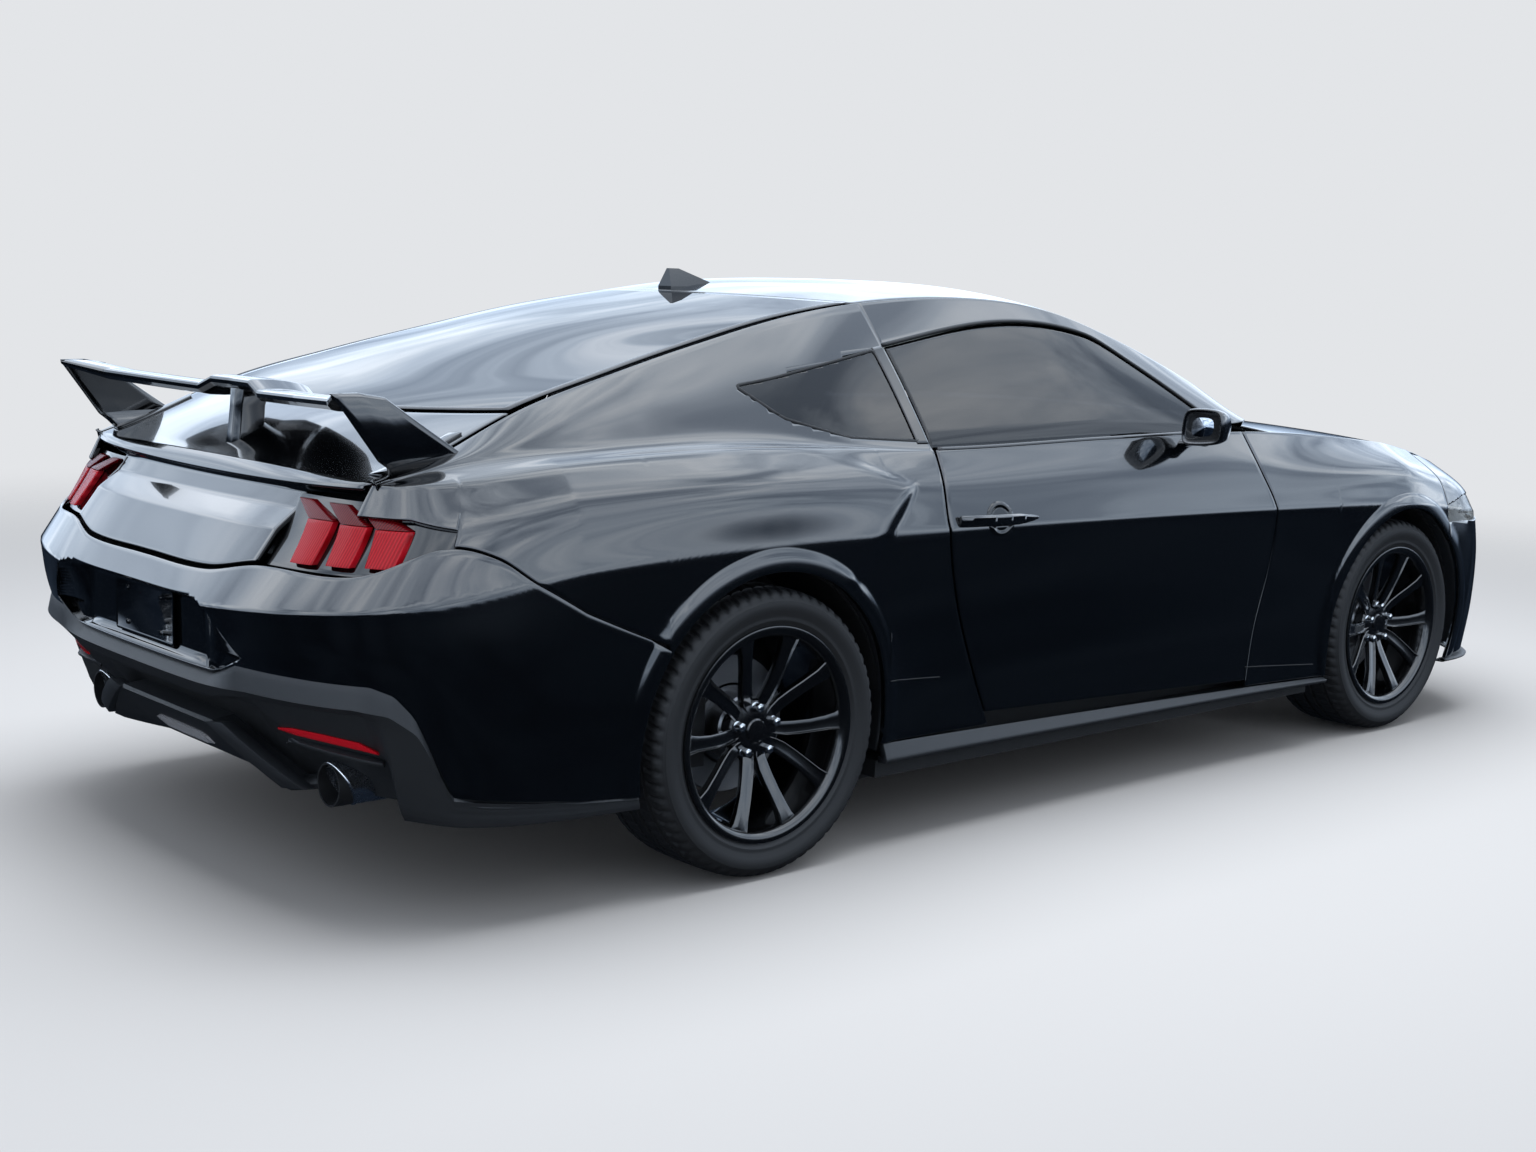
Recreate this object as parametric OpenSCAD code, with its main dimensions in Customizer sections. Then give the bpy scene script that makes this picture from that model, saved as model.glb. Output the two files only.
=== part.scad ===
/* [Overall] */
// Distance between the front and rear axles
wheelbase = 2718; // [2600:1:2850]
// Front axle to the foremost point of the nose
front_overhang = 900; // [860:1:940]
// Rear axle to the rearmost point of the tail
rear_overhang = 1150; // [1120:1:1180]
// Half of the body's width at its widest, over the rear wheels
half_width = 959; // [945:1:975]
// Height of the roof's highest point above the road
roof_height = 1397; // [1380:1:1415]

/* [Wheels] */
// Outside radius of a tyre
tyre_radius = 343.5; // [338:0.5:348]
// Width of a tyre
tyre_width = 255; // [235:1:275]
// Radius of the rim's outer flange
flange_radius = 257; // [250:1:262]
// Width of the rim between its outer faces
rim_width = 240; // [225:1:250]
// Front wheels, centre to centre
front_track = 1582; // [1560:1:1600]
// Rear wheels, centre to centre
rear_track = 1648; // [1620:1:1655]
// Radius of the wheel-arch openings
arch_radius = 388; // [380:1:396]
// Radius of the lug nuts' circle
lug_circle_radius = 57.15; // [54:0.05:60]
// Number of spoke pairs in a wheel
spoke_pairs = 5; // [5:1:6]
// Radius of the front brake discs
front_disc_radius = 178; // [165:1:190]
// Radius of the rear brake discs
rear_disc_radius = 165; // [155:1:175]

/* [Panels] */
// Thickness of the fenders and quarter panels
skin = 8; // [6:1:10]
// Thickness of the doors
door_thickness = 70; // [60:1:80]
// Thickness of the hood
hood_thickness = 22; // [16:1:26]
// Thickness of the roof
roof_thickness = 28; // [20:1:34]
// Thickness of the window glass
glass = 5; // [4:0.5:6]
// Open gap round the doors, hood and deck lid
shut_gap = 8.5; // [8:0.5:10]

/* [Wing] */
// Height of the rear wing's blade above the deck lid
wing_rise = 132; // [120:1:145]
// Half of the wing's span
wing_half_span = 712; // [690:1:725]

/* [Hidden] */

// Stations along the car. The overhangs are measured from the axles.
nose = (wheelbase + front_overhang + rear_overhang) / 2;
tail = -nose;
axle_f = nose - front_overhang;
axle_r = tail + rear_overhang;
door_front = axle_f - 725;
door_rear = axle_r + 593;
nose_corner = axle_f + 345;
tail_corner = axle_r - 537;
nose_run = 1100;
tail_run = 1300;
nose_roundness = 2.5;
tail_roundness = [3.1, 3.1, 3.1, 3.1, 3.6, 4.6];
widen = half_width - 959;
belt_height = 985;
// Place along the door opening: share 0 at its rear shut line, 1 at its front
function bay(share) = door_rear + (door_front - door_rear) * share;
// Height of a point of the cabin that is z high where the roof is 1397 high
function raised(z) = z < belt_height ? z : belt_height + (z - belt_height) * (roof_height - belt_height) / (1397 - belt_height);

stations = [tail_corner - tail_run, tail_corner - tail_run / 2, tail_corner, axle_r, door_rear,
    (door_front + door_rear) / 2, door_front, axle_f, nose_corner,
    nose_corner + nose_run / 2, nose_corner + nose_run];

// Body-side rails from the sill up to the belt: half-width and height at each station.
sill_line = [[905, 245], [915, 235], [925, 225], [930, 215], [915, 212], [905, 205], [905, 200],
    [925, 195], [905, 190], [890, 185], [880, 185]];
lower_line = [[935, 405], [940, 405], [948, 405], [955, 400], [912, 400], [900, 400], [905, 400],
    [940, 395], [925, 380], [905, 350], [895, 340]];
flank_line = [[940, 560], [945, 570], [952, 580], [959, 600], [930, 600], [918, 600], [920, 590],
    [948, 585], [925, 560], [905, 510], [890, 490]];
crease_line = [[925, 655], [932, 690], [945, 765], [957, 785], [936, 785], [932, 775], [933, 762],
    [943, 745], [910, 710], [880, 655], [860, 630]];
shoulder_line = [[880, 828], [890, 842], [912, 900], [935, 920], [903, 900], [900, 890], [900, 875],
    [905, 850], [860, 800], [820, 735], [800, 715]];
belt_line = [[812, 930], [824, 944], [842, 982], [855, 1005], [862, 978], [860, 985], [850, 985],
    [800, 930], [740, 880], [690, 810], [660, 790]];
side_rails = [sill_line, lower_line, flank_line, crease_line, shoulder_line, belt_line];
// How far each rail reaches at the centreline of the nose and of the tail
nose_reach = [-75, -35, -10, 3, -25, -80];
tail_reach = [150, 88, 25, 0, 135, 205];
crease_rail = 3;
top_rail = 5;

// Upper rails along the car, as [x, half-width, height].
// Base of the side glass and of the sail panel behind it
sail_base = [[axle_r - 960, 690, 926], [axle_r - 888, 698, 942], [axle_r - 840, 726, 958], [axle_r - 700, 762, 985],
    [axle_r - 500, 782, 1000], [axle_r - 250, 792, 1008], [axle_r, 806, 1009], [axle_r + 300, 835, 998], [door_rear, 850, 983],
    [(door_front + door_rear) / 2, 848, 990], [door_front - 80, 838, 990], [door_front + 60, 828, 986]];
// Roof rail, from the deck lid's corner over the door to the foot of the screen pillar
roof_rail = [[axle_r - 960, 692, 928], [axle_r - 888, 697, 948], [axle_r - 780, 698, 984],
    [axle_r - 520, 676, 1092], [axle_r - 260, 648, 1163],
    [axle_r, 616, 1226], [axle_r + 350, 586, 1302], [bay(0.057), 568, 1342],
    [bay(0.3), 570, 1353], [bay(0.5), 592, 1328], [bay(0.679), 630, 1256],
    [bay(0.893), 690, 1132], [door_front + 60, 742, 1012]];
// Centreline of the body: rear edge of the deck, rear window, roof, screen and cowl
centre_line = [[axle_r - 960, 945], [axle_r - 900, 966], [axle_r - 780, 1024], [axle_r - 670, 1070],
    [axle_r - 450, 1138], [axle_r, 1268], [axle_r + 420, 1356], [bay(0.043), 1387], [bay(0.3), 1396],
    [bay(0.514), 1384], [bay(0.7), 1330], [bay(0.957), 1180], [door_front + 215, 1016]];
hood_line = [[door_front + 235, 1008], [axle_f - 350, 996], [axle_f - 50, 970], [axle_f + 250, 936],
    [nose - 300, 893], [nose - 130, 838], [nose - 52, 775]];

function lerp(a, b, t) = a + (b - a) * t;
function span(s, x, i = 0) = i >= len(s) - 2 || x < s[i + 1] ? i : span(s, x, i + 1);
function slope(s, v, i, flat) =
    i == 0 ? (flat ? v[0] * 0 : (v[1] - v[0]) / (s[1] - s[0])) :
    i == len(s) - 1 ? (flat ? v[0] * 0 : (v[i] - v[i - 1]) / (s[i] - s[i - 1])) :
    (v[i + 1] - v[i - 1]) / (s[i + 1] - s[i - 1]);
function hermite(a, b, da, db, h, t) =
    a * (2 * t * t * t - 3 * t * t + 1) + b * (3 * t * t - 2 * t * t * t)
    + da * (h * (t * t * t - 2 * t * t + t)) + db * (h * (t * t * t - t * t));
// Value at x of the smooth curve through the values v at the places s
function smooth(s, v, x, flat = false) =
    let (i = span(s, x), h = s[i + 1] - s[i], t = (x - s[i]) / h)
    hermite(v[i], v[i + 1], slope(s, v, i, flat), slope(s, v, i + 1, flat), h, t);
function column(table, k) = [for (row = table) row[k]];
function rail_at(rail, x) =
    [x, smooth(column(rail, 0), column(rail, 1), x) + widen, raised(smooth(column(rail, 0), column(rail, 2), x))];
function height_at(line, x) = smooth(column(line, 0), column(line, 1), x);

// Plan-view rounding of the body's ends: [outward share, sideways share] at an angle round the corner
function corner(angle, n) =
    let (r = pow(pow(max(cos(angle), 0), n) + pow(max(sin(angle), 0), n), -1 / n))
    [r * sin(angle), r * cos(angle)];

// The six rail points of the body side at the place u along the car
function side_column(u) = [for (k = [0:top_rail])
    let (yz = smooth(stations, side_rails[k], u, true), y = yz[0] + widen)
    u > nose_corner ?
        let (c = corner(90 * (u - nose_corner) / nose_run, nose_roundness))
        [nose_corner + (nose + nose_reach[k] - nose_corner) * c[0], y * c[1], yz[1]] :
    u < tail_corner ?
        let (c = corner(90 * (tail_corner - u) / tail_run, tail_roundness[k]))
        [tail_corner + (tail + tail_reach[k] - tail_corner) * c[0], y * c[1], yz[1]] :
    [u, y, yz[1]]];
// Point at the height step v (0 sill to 5 belt) of a column, with a fold at the crease
function on_column(c, v) =
    let (i = min(floor(v), top_rail - 1), t = v - i,
        da = i == 0 || i == crease_rail ? c[i + 1] - c[i] : (c[i + 1] - c[i - 1]) / 2,
        db = i + 1 == top_rail || i + 1 == crease_rail ? c[i + 1] - c[i] : (c[i + 2] - c[i]) / 2)
    hermite(c[i], c[i + 1], da, db, 1, t);
function side_point(u, v) = on_column(side_column(u), v);
// Height step at which a column reaches the height z
function step_at(c, z, a = 0, b = 5, n = 12) =
    n == 0 ? (a + b) / 2 :
    let (m = (a + b) / 2) on_column(c, m)[2] < z ? step_at(c, z, m, b, n - 1) : step_at(c, z, a, m, n - 1);

// Point of the upper side, from the belt (0) over the sail's base (1) to the roof rail (2)
function upper_point(u, t) =
    let (a = on_column(side_column(u), top_rail), b = rail_at(sail_base, a[0]), c = rail_at(roof_rail, a[0]),
        mid = lerp(b, c, 0.5) + [0, 14, 8])
    t <= 1 ? lerp(a, b, t) :
    hermite(b, c, (mid - b) * 2, (c - mid) * 2, 1, t - 1);
// Point of a crowned panel between the centreline and a side rail, t from 0 to 1
function crowned(mid, edge, t, n = 2.2) =
    [mid[0] + (edge[0] - mid[0]) * pow(t, n), edge[1] * t, mid[2] + (edge[2] - mid[2]) * pow(t, n)];
function cabin_point(x_mid, x_edge, t, n = 2.2) =
    crowned([x_mid, 0, raised(height_at(centre_line, x_mid))], rail_at(roof_rail, x_edge), t, n);

// Unit normal of a grid of points at row i, place j, towards the outside
function normal(g, i, j) =
    let (a = g[min(i + 1, len(g) - 1)][j] - g[max(i - 1, 0)][j],
        b = g[i][min(j + 1, len(g[0]) - 1)] - g[i][max(j - 1, 0)], n = cross(b, a))
    n / norm(n);
function inset(g, d) = [for (i = [0:len(g) - 1]) [for (j = [0:len(g[0]) - 1]) g[i][j] - normal(g, i, j) * d]];
function moved(g, v) = [for (row = g) [for (p = row) p + v]];
function steps(a, b, n) = [for (i = [0:n]) lerp(a, b, i / n)];
function flip(row) = [for (p = row) [p[0], -p[1], p[2]]];
// Rows of one side carried on round the nose, or round the tail, to the other side
function round_nose(g) = concat(g, [for (i = [len(g) - 2:-1:0]) flip(g[i])]);
function round_tail(g) = concat([for (i = [len(g) - 1:-1:1]) flip(g[i])], g);

// Closed wall between an outer and an inner grid of points
module shell(outer, inner) {
    rows = len(outer);
    cols = len(outer[0]);
    points = [for (g = [outer, inner]) each [for (row = g) each row]];
    function at(s, i, j) = s * rows * cols + i * cols + j;
    function quad(a, b, c, d) = [[a, b, c], [a, c, d]];
    faces = [
        for (i = [0:rows - 2]) for (j = [0:cols - 2]) each
            quad(at(0, i, j), at(0, i + 1, j), at(0, i + 1, j + 1), at(0, i, j + 1)),
        for (i = [0:rows - 2]) for (j = [0:cols - 2]) each
            quad(at(1, i, j), at(1, i, j + 1), at(1, i + 1, j + 1), at(1, i + 1, j)),
        for (i = [0:rows - 2]) each quad(at(0, i + 1, 0), at(0, i, 0), at(1, i, 0), at(1, i + 1, 0)),
        for (i = [0:rows - 2]) each
            quad(at(0, i, cols - 1), at(0, i + 1, cols - 1), at(1, i + 1, cols - 1), at(1, i, cols - 1)),
        for (j = [0:cols - 2]) each quad(at(0, 0, j), at(0, 0, j + 1), at(1, 0, j + 1), at(1, 0, j)),
        for (j = [0:cols - 2]) each
            quad(at(0, rows - 1, j + 1), at(0, rows - 1, j), at(1, rows - 1, j), at(1, rows - 1, j + 1))];
    polyhedron(points, faces, convexity = 6);
}
// A curved panel: the grid is its outer face, and it is t thick
module panel(grid, t) {
    shell(grid, inset(grid, t));
}
// The same piece on both sides of the car
module both_sides() {
    children();
    mirror([0, 1, 0]) children();
}
// The same piece on the left (1) or the right (-1)
module on_side(s) {
    if (s > 0) children();
    else mirror([0, 1, 0]) children();
}
module block(low, high) {
    translate(low) cube(high - low);
}
// A straight bar or bore along Y, between two places
module rod_y(x, y0, y1, z, r) {
    translate([x, y1, z]) rotate([90, 0, 0]) cylinder(r = r, h = y1 - y0, $fn = 48);
}
module rod_z(x, y, z0, z1, r) {
    translate([x, y, z0]) cylinder(r = r, h = z1 - z0, $fn = 40);
}
// An outline in the side view, given as [x, z], made a bar from y0 to y1
module side_profile(y0, y1, outline) {
    translate([0, y1, 0]) rotate([90, 0, 0]) linear_extrude(y1 - y0) polygon(outline);
}
// An outline in the end view, given as [y, z], made a bar from x0 to x1
module end_profile(x0, x1, outline) {
    translate([x0, 0, 0]) rotate([90, 0, 90]) linear_extrude(x1 - x0) polygon(outline);
}

// Shared places
seat = 0.3;
pin_play = 0.4;
edge = shut_gap / 2;
front_seam = nose_corner - 60;
wheel_y_front = front_track / 2;
wheel_y_rear = rear_track / 2;
screen_foot = door_front + 50;
header = bay(0.607);
b_line = door_rear + 2;
deck_front = axle_r - 539;
deck_rear = axle_r - 918;
door_edges = [0, 1, 2, 3, 4, 5];
// Front and rear shut lines of the door at each height step
door_front_line = [-68, -40, -5, 4, -45, -86];
door_rear_line = [225, 138, 40, -3, -2, 6];
function front_shut(v) = door_front + smooth(door_edges, door_front_line, v);
function rear_shut(v) = door_rear + smooth(door_edges, door_rear_line, v);
function step_of(u, z) = step_at(side_column(u), z);

// Places on the centreline that face places on the roof rail
mid_line = [[deck_rear, axle_r - 948], [deck_front, deck_front - 150], [b_line, b_line - 200],
    [bay(0.316), bay(0.316)], [header, bay(0.679)], [bay(0.843), bay(0.943)],
    [screen_foot + 10, door_front + 215]];
function top_point(x, t) = let (p = cabin_point(height_at(mid_line, x), x, abs(t)))
    [p[0], t < 0 ? -p[1] : p[1], p[2]];

// The shares q across the tail or the nose, 0 at the centreline, as places u along the side
function tail_place(q, v = 3) = let (n = lerp(tail_roundness[floor(min(v, 4.9))], tail_roundness[ceil(v)], v - floor(v)))
    tail_corner - tail_run * atan2(pow(1 - pow(q, n), 1 / n), q) / 90;
function nose_place(q) = nose_corner + nose_run * atan2(pow(1 - pow(q, nose_roundness), 1 / nose_roundness), q) / 90;
function side_width(v) = side_point(tail_corner, v)[1];
function tail_point(y, v) = let (p = side_point(tail_place(min(abs(y) / side_width(v), 0.999), v), v))
    [p[0], y < 0 ? -p[1] : p[1], p[2]];

// Heights of the tail's seams along the side: under the quarter panel, and over the valance
tail_centre = stations[0];
tail_seam = [[tail_centre, 731], [tail_corner - 1031, 734], [tail_corner - 880, 762], [tail_corner - 640, 766],
    [tail_corner - 469, 826], [tail_corner - 300, 806], [tail_corner - 150, 745],
    [axle_r - 317, 588], [axle_r - 200, 560], [axle_r + 300, 540]];
valance_seam = [[tail_centre, 430], [tail_corner - 600, 422], [tail_corner - 350, 372], [tail_corner - 100, 285],
    [axle_r - 287, 240], [axle_r, 235]];

// Wheel arches, cut from the panels of both sides at once
module arch_cut(x) {
    rod_y(x, -1100, 1100, tyre_radius, arch_radius);
    block([x - arch_radius, -1100, 0], [x + arch_radius, 1100, tyre_radius]);
}
lamp_low = 764;
lamp_high = 880;
lamp_inner = 480;
head_low = 655;
head_high = 742;
head_inner = 500;
module tail_lamp_cut() {
    both_sides() end_profile(tail - 50, tail_corner - 280, [
        [lamp_inner, lamp_low], [775, lamp_low + 4], [868, lamp_low + 66],
        [868, lamp_low + 98], [800, lamp_high], [lamp_inner, lamp_high]]);
}
module headlamp_cut() {
    both_sides() end_profile(nose_corner - 115, nose + 50, [
        [head_inner, head_low], [880, head_low], [960, head_low + 20],
        [960, head_low + 36], [880, head_high], [head_inner - 20, head_high]]);
}

module floor_tub() color("dimgray") {
    floor_z = 150;
    cabin_back = axle_r + 160;
    post = door_front + 22;
    fire = door_front + 100;
    rail_top = 470;
    // Cabin floor with its tunnel, the firewall and the rear bulkhead
    difference() {
        union() {
            block([axle_r + 320, -720, floor_z], [fire, 720, floor_z + 18]);
            block([axle_r + 320, -150, floor_z], [fire, 150, 400]);
        }
        block([axle_r + 300, -130, floor_z - 10], [fire + 1, 130, 380]);
    }
    difference() {
        block([fire, -740, floor_z], [fire + 18, 740, 925]);
        block([fire - 10, -130, floor_z - 10], [fire + 30, 130, 380]);
    }
    block([fire, -660, 920], [fire + 18, 660, 945]);
    block([cabin_back, -645, floor_z + 300], [cabin_back + 18, 645, 905]);
    block([axle_r - 260, -645, 893], [cabin_back + 18, 645, 911]);
    // Rockers, hinge posts and lock pillars
    both_sides() {
        block([axle_r + 410, 700, 168], [axle_f - 425, 880, 212]);
        block([axle_r + 410, 700, floor_z], [axle_f - 425, 815, 200]);
        block([axle_r + 410, 700, 168], [fire, 800, 330]);
        block([post, 740, 168], [fire + 18, 868, 880]);
        block([door_rear - 120, 745, 168], [door_rear - 30, 825, 950]);
        // Kick-up behind the rear seat and the rear rails
        block([axle_r + 300, 560, floor_z], [axle_r + 418, 645, rail_top]);
        block([axle_r + 404, 560, floor_z], [axle_r + 440, 720, rail_top]);
        block([tail + 175, 560, 400], [axle_r + 418, 640, rail_top]);
        // Rear wheelhouse
        intersection() {
            difference() {
                rod_y(axle_r, 640, 900, tyre_radius, arch_radius + 14);
                rod_y(axle_r, 648, 910, tyre_radius, arch_radius + 4);
            }
            block([axle_r - 500, 600, 400], [axle_r + 500, 1000, 900]);
        }
        // Gutter beside the boot opening
        block([deck_front - 20, 610, 893], [cabin_back, 645, 911]);
        block([axle_r - 700, 610, 890], [axle_r - 240, 640, 905]);
        block([axle_r - 700, 610, rail_top - 10], [axle_r - 660, 640, 905]);
        // Front rails, wheelhouses and strut towers
        block([fire, 380, 400], [nose - 235, 440, rail_top]);
        block([axle_f - 200, 432, rail_top - 10], [axle_f + 200, 440, 852]);
        block([axle_f - 110, 432, 844], [axle_f + 110, king_y, 852]);
        intersection() {
            difference() {
                rod_y(axle_f, king_y + 100, 870, tyre_radius, arch_radius + 14);
                rod_y(axle_f, king_y + 90, 910, tyre_radius, arch_radius + 4);
            }
            block([axle_f - 500, 700, 400], [axle_f + 500, 1000, 900]);
        }
        block([axle_f - 110, king_y - 10, 722], [axle_f - 95, king_y + 110, 852]);
        block([axle_f + 95, king_y - 10, 722], [axle_f + 110, king_y + 110, 852]);
        // Apron from the hinge post to the wheelhouse
        block([fire, 700, 690], [axle_f - 330, 756, 720]);
    }
    block([tail + 175, -640, rail_top - 15], [cabin_back + 18, 640, rail_top]);
    block([tail + 175, -640, 400], [tail + 195, 640, 760]);
    // Radiator support and bumper beam
    block([nose - 250, -460, 300], [nose - 235, 460, 740]);
    block([nose - 250, -520, 430], [nose - 170, 520, 520]);
    // Cowl under the foot of the windscreen
    intersection() {
        shell(cowl_grid(), moved(cowl_grid(), [0, 0, -22]));
        block([fire - 40, -760, 900], [fire + 170, 760, 1000]);
    }
    // Hinge ears of the hood and of the deck lid
    both_sides() {
        ear(hood_axis_x, 702, hood_axis_z, 904, 16, 7);
        ear(deck_axis_x, 631, deck_axis_z, 900, 7.5, 4);
    }
    // Door hinge arms
    both_sides() for (z = door_hinge_z) difference() {
        union() {
            block([door_axis_x - 9, 760, z - 14], [door_axis_x + 9, door_axis_y, z + 14]);
            block([door_axis_x - 9, 745, z - 14], [post + 20, 771, z + 14]);
            rod_z(door_axis_x, door_axis_y, z - 14, z + 14, 9);
        }
        rod_z(door_axis_x, door_axis_y, z - 20, z + 20, 5 + pin_play);
    }
}
function cowl_grid() = [for (t = steps(-0.88, 0.88, 10)) [for (s = [0, 1])
    let (p = top_point(screen_foot - 20, t)) [p[0] + lerp(-30, 60, s), p[1], p[2] - 62 - 32 * t * t]]];
hood_axis_x = door_front + 108;
hood_axis_z = 955;
deck_axis_x = deck_front - 27;
deck_axis_z = raised(1068);
door_axis_x = door_front - 90;
door_axis_y = 898 + widen;
door_hinge_z = [570, 780];
// One plate with a bore for a hinge pin along Y
module ear(x, y, z, foot, r, pin) {
    difference() {
        union() {
            rod_y(x, y, y + 12, z, r);
            block([x - r, y, foot], [x + r, y + 12, z]);
        }
        rod_y(x, y - 5, y + 20, z, pin + pin_play);
    }
}

module fenders() color("#0b0d12") {
    g = [for (a = steps(0, 1, 10)) let (u = lerp(door_front, front_seam, a),
            low = u < axle_f ? step_of(u, skirt_top(u) + 6) : 0)
        [for (v = steps(low, 5, 10)) side_point(lerp(front_shut(v) + edge + 2, front_seam - edge, a), v)]];
    both_sides() {
        difference() {
            panel(g, skin);
            arch_cut(axle_f);
            headlamp_cut();
        }
        // Tab on the hinge post
        block([door_front + 60, 868 + seat, 500], [door_front + 115, 914 + widen, 560]);
    }
}

quarter_rows = concat([tail_corner - 694], steps(tail_corner - 560, axle_r - 317, 8), steps(axle_r - 200, b_line - edge, 7));
// The first row follows the deck lid's edge, and the last rows lean to the door's shut line
function quarter_place(u, v) = u < tail_corner - 690 ? tail_place(701 / side_width(v), v) :
    u + (rear_shut(v) - rear_shut(5)) * pow(max(0, (u - axle_r - 180) / 420), 1.5);
skirt_start = axle_r + arch_radius + 6;
skirt_end = axle_f - arch_radius - 6;
function skirt_top(u) = lerp(265, 218, (u - skirt_start) / (skirt_end - skirt_start));
window_outline = [[axle_r + 62, 1136], [axle_r + 180, 1152], [b_line - 42, 1218], [b_line - 30, 1000],
    [axle_r + 330, 1016], [axle_r + 160, 1062]];
function quarter_opening() = [for (p = window_outline) [p[0], raised(p[1])]];
module quarter_panels() color("#0b0d12") {
    g = [for (u = quarter_rows) concat(
        [for (s = steps(0, 1, 8)) let (v = lerp(step_of(u, u < axle_r + 290 ? height_at(tail_seam, u) + 4
            : skirt_top(u) + 6), 5, s)) side_point(quarter_place(u, v), v)],
        [for (t = [0.5, 1, 1.4, 1.75, 2]) upper_point(quarter_place(u, 5), t)])];
    both_sides() {
        difference() {
            panel(g, skin);
            arch_cut(axle_r);
            tail_lamp_cut();
            side_profile(500, 1000, quarter_opening());
        }
        // Tab on the lock pillar
        block([door_rear - 110, 825 + seat, 600], [door_rear - 60, 928 + widen, 650]);
    }
}

// The side strip over the door: from the screen pillar's foot back to the quarter panel
window_top = [[axle_r + 62, 1137], [b_line, 1226], [bay(0.344), 1290], [bay(0.586), 1262],
    [bay(0.707), 1172], [bay(0.843), 1042], [bay(0.864), 1008], [screen_foot, 1006]];
function window_share(u, gap) = let (b = rail_at(sail_base, u), c = rail_at(roof_rail, u))
    1 + max(0.02, min(0.9, (raised(height_at(window_top, u)) + gap - b[2]) / (c[2] - b[2])));
rail_rows = concat(steps(b_line - edge + seat, header, 8), steps(header + 75, screen_foot, 7));
module roof_rails() color("#0b0d12") {
    g = [for (u = rail_rows) let (a = window_share(u, shut_gap))
        [for (t = [a, (a + 2) / 2, 2]) upper_point(u, t)]];
    both_sides() panel(g, 22);
}

function roof_grid(x0, x1, n, share) = [for (t = steps(-share, share, 10)) [for (x = steps(x0, x1, n)) top_point(x, t)]];
module roof() color("#0b0d12") panel(roof_grid(b_line, header, 8, 0.974), roof_thickness);
module windscreen() color("#26303a", 0.6) panel(roof_grid(header + 1, screen_foot, 7, 0.975), glass);
module rear_window() color("#15191e", 0.7) panel(roof_grid(deck_front + 18, b_line - 1.4, 9, 0.955), glass);

module front_bumper() color("#0b0d12") {
    g = [for (a = steps(0, 1, 13)) let (u = lerp(front_seam + edge, stations[10], pow(a, 0.9)))
        [for (v = steps(0, 4.85, 10)) side_point(u, v)]];
    difference() {
        panel(round_nose(g), skin);
        arch_cut(axle_f);
        headlamp_cut();
        // Upper grille and lower intake
        end_profile(nose - 250, nose + 60, [[-470, 560], [470, 560], [440, 728], [-440, 728]]);
        end_profile(nose - 250, nose + 60, [[-620, 240], [620, 240], [560, 420], [-560, 420]]);
    }
    // Brackets on the bumper beam
    both_sides() block([nose - 170 + seat, 200, 455], [nose - 30, 250, 500]);
}
module grille() color("#101216") {
    both_sides() block([nose - 170 + seat, 420, 330], [nose - 150, 436, 700]);
    for (z = [600:34:704]) block([nose - 165, -430, z], [nose - 150, 430, z + 12]);
    for (z = [270:34:410]) block([nose - 165, -520, z], [nose - 150, 520, z + 12]);
    for (y = [-430:86:430]) {
        block([nose - 160, y - 5, 600], [nose - 145, y + 5, 714]);
        block([nose - 160, y - 5, 270], [nose - 145, y + 5, 418]);
    }
    block([nose - 160, -6, 400], [nose - 150, 6, 610]);
}
module headlamps() color("#c9d2da", 0.8) {
    g = [for (a = steps(0, 1, 7)) let (u = lerp(nose_corner - 82, nose_place(0.62), a))
        [for (z = steps(head_low + 9, head_high - 12, 3)) side_point(u, step_of(u, z))]];
    both_sides() {
        panel(inset(g, 9), 26);
        block([nose - 235 + seat, 440, 690], [nose - 140, 456, 702]);
        block([nose - 160, 440, 690], [nose - 140, 580, 702]);
    }
}

module rear_bumper() color("#0b0d12") {
    us = concat([tail_centre, tail_corner - 1120, tail_corner - 950], steps(tail_corner - 800, axle_r - 287, 10));
    g = [for (u = us) [for (s = steps(0, 1, 5)) side_point(u,
        lerp(step_of(u, height_at(valance_seam, u)), step_of(u, height_at(tail_seam, u) - 4), s))]];
    difference() {
        panel(round_tail(g), skin);
        arch_cut(axle_r);
        tail_lamp_cut();
    }
    // Brackets on the rear panel
    both_sides() block([tail + 22, 300, 600], [tail + 175 - seat, 350, 635]);
}
module rear_valance() color("#2b2e33") {
    us = concat([tail_centre, tail_corner - 1120, tail_corner - 950], steps(tail_corner - 800, axle_r - 287, 8));
    g = [for (u = us) [for (s = steps(0, 1, 3)) side_point(u, s * step_of(u, height_at(valance_seam, u) - 5))]];
    difference() {
        panel(round_tail(g), skin);
        arch_cut(axle_r);
        both_sides() rod_x(tail - 20, tail + 460, exhaust_y, exhaust_z, exhaust_radius + 12);
    }
    both_sides() block([tail + 100, 300, 402], [tail + 175 - seat, 350, 416]);
}
exhaust_y = 590;
exhaust_z = 290;
exhaust_radius = 48;
module rod_x(x0, x1, y, z, r) {
    translate([x0, y, z]) rotate([0, 90, 0]) cylinder(r = r, h = x1 - x0, $fn = 48);
}
module side_skirts() color("#2b2e33") {
    outer = [for (u = steps(skirt_start, skirt_end, 10)) let (high = skirt_top(u), p = side_point(u, 0))
        [p + [0, -12, 2], p + [0, 16, 6], p + [0, 18, 16], [u, side_point(u, step_of(u, high))[1] + 2, high]]];
    inner = [for (row = outer) [for (p = row) [p[0], 880 + widen + seat, p[2]]]];
    both_sides() shell(outer, inner);
}

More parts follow.
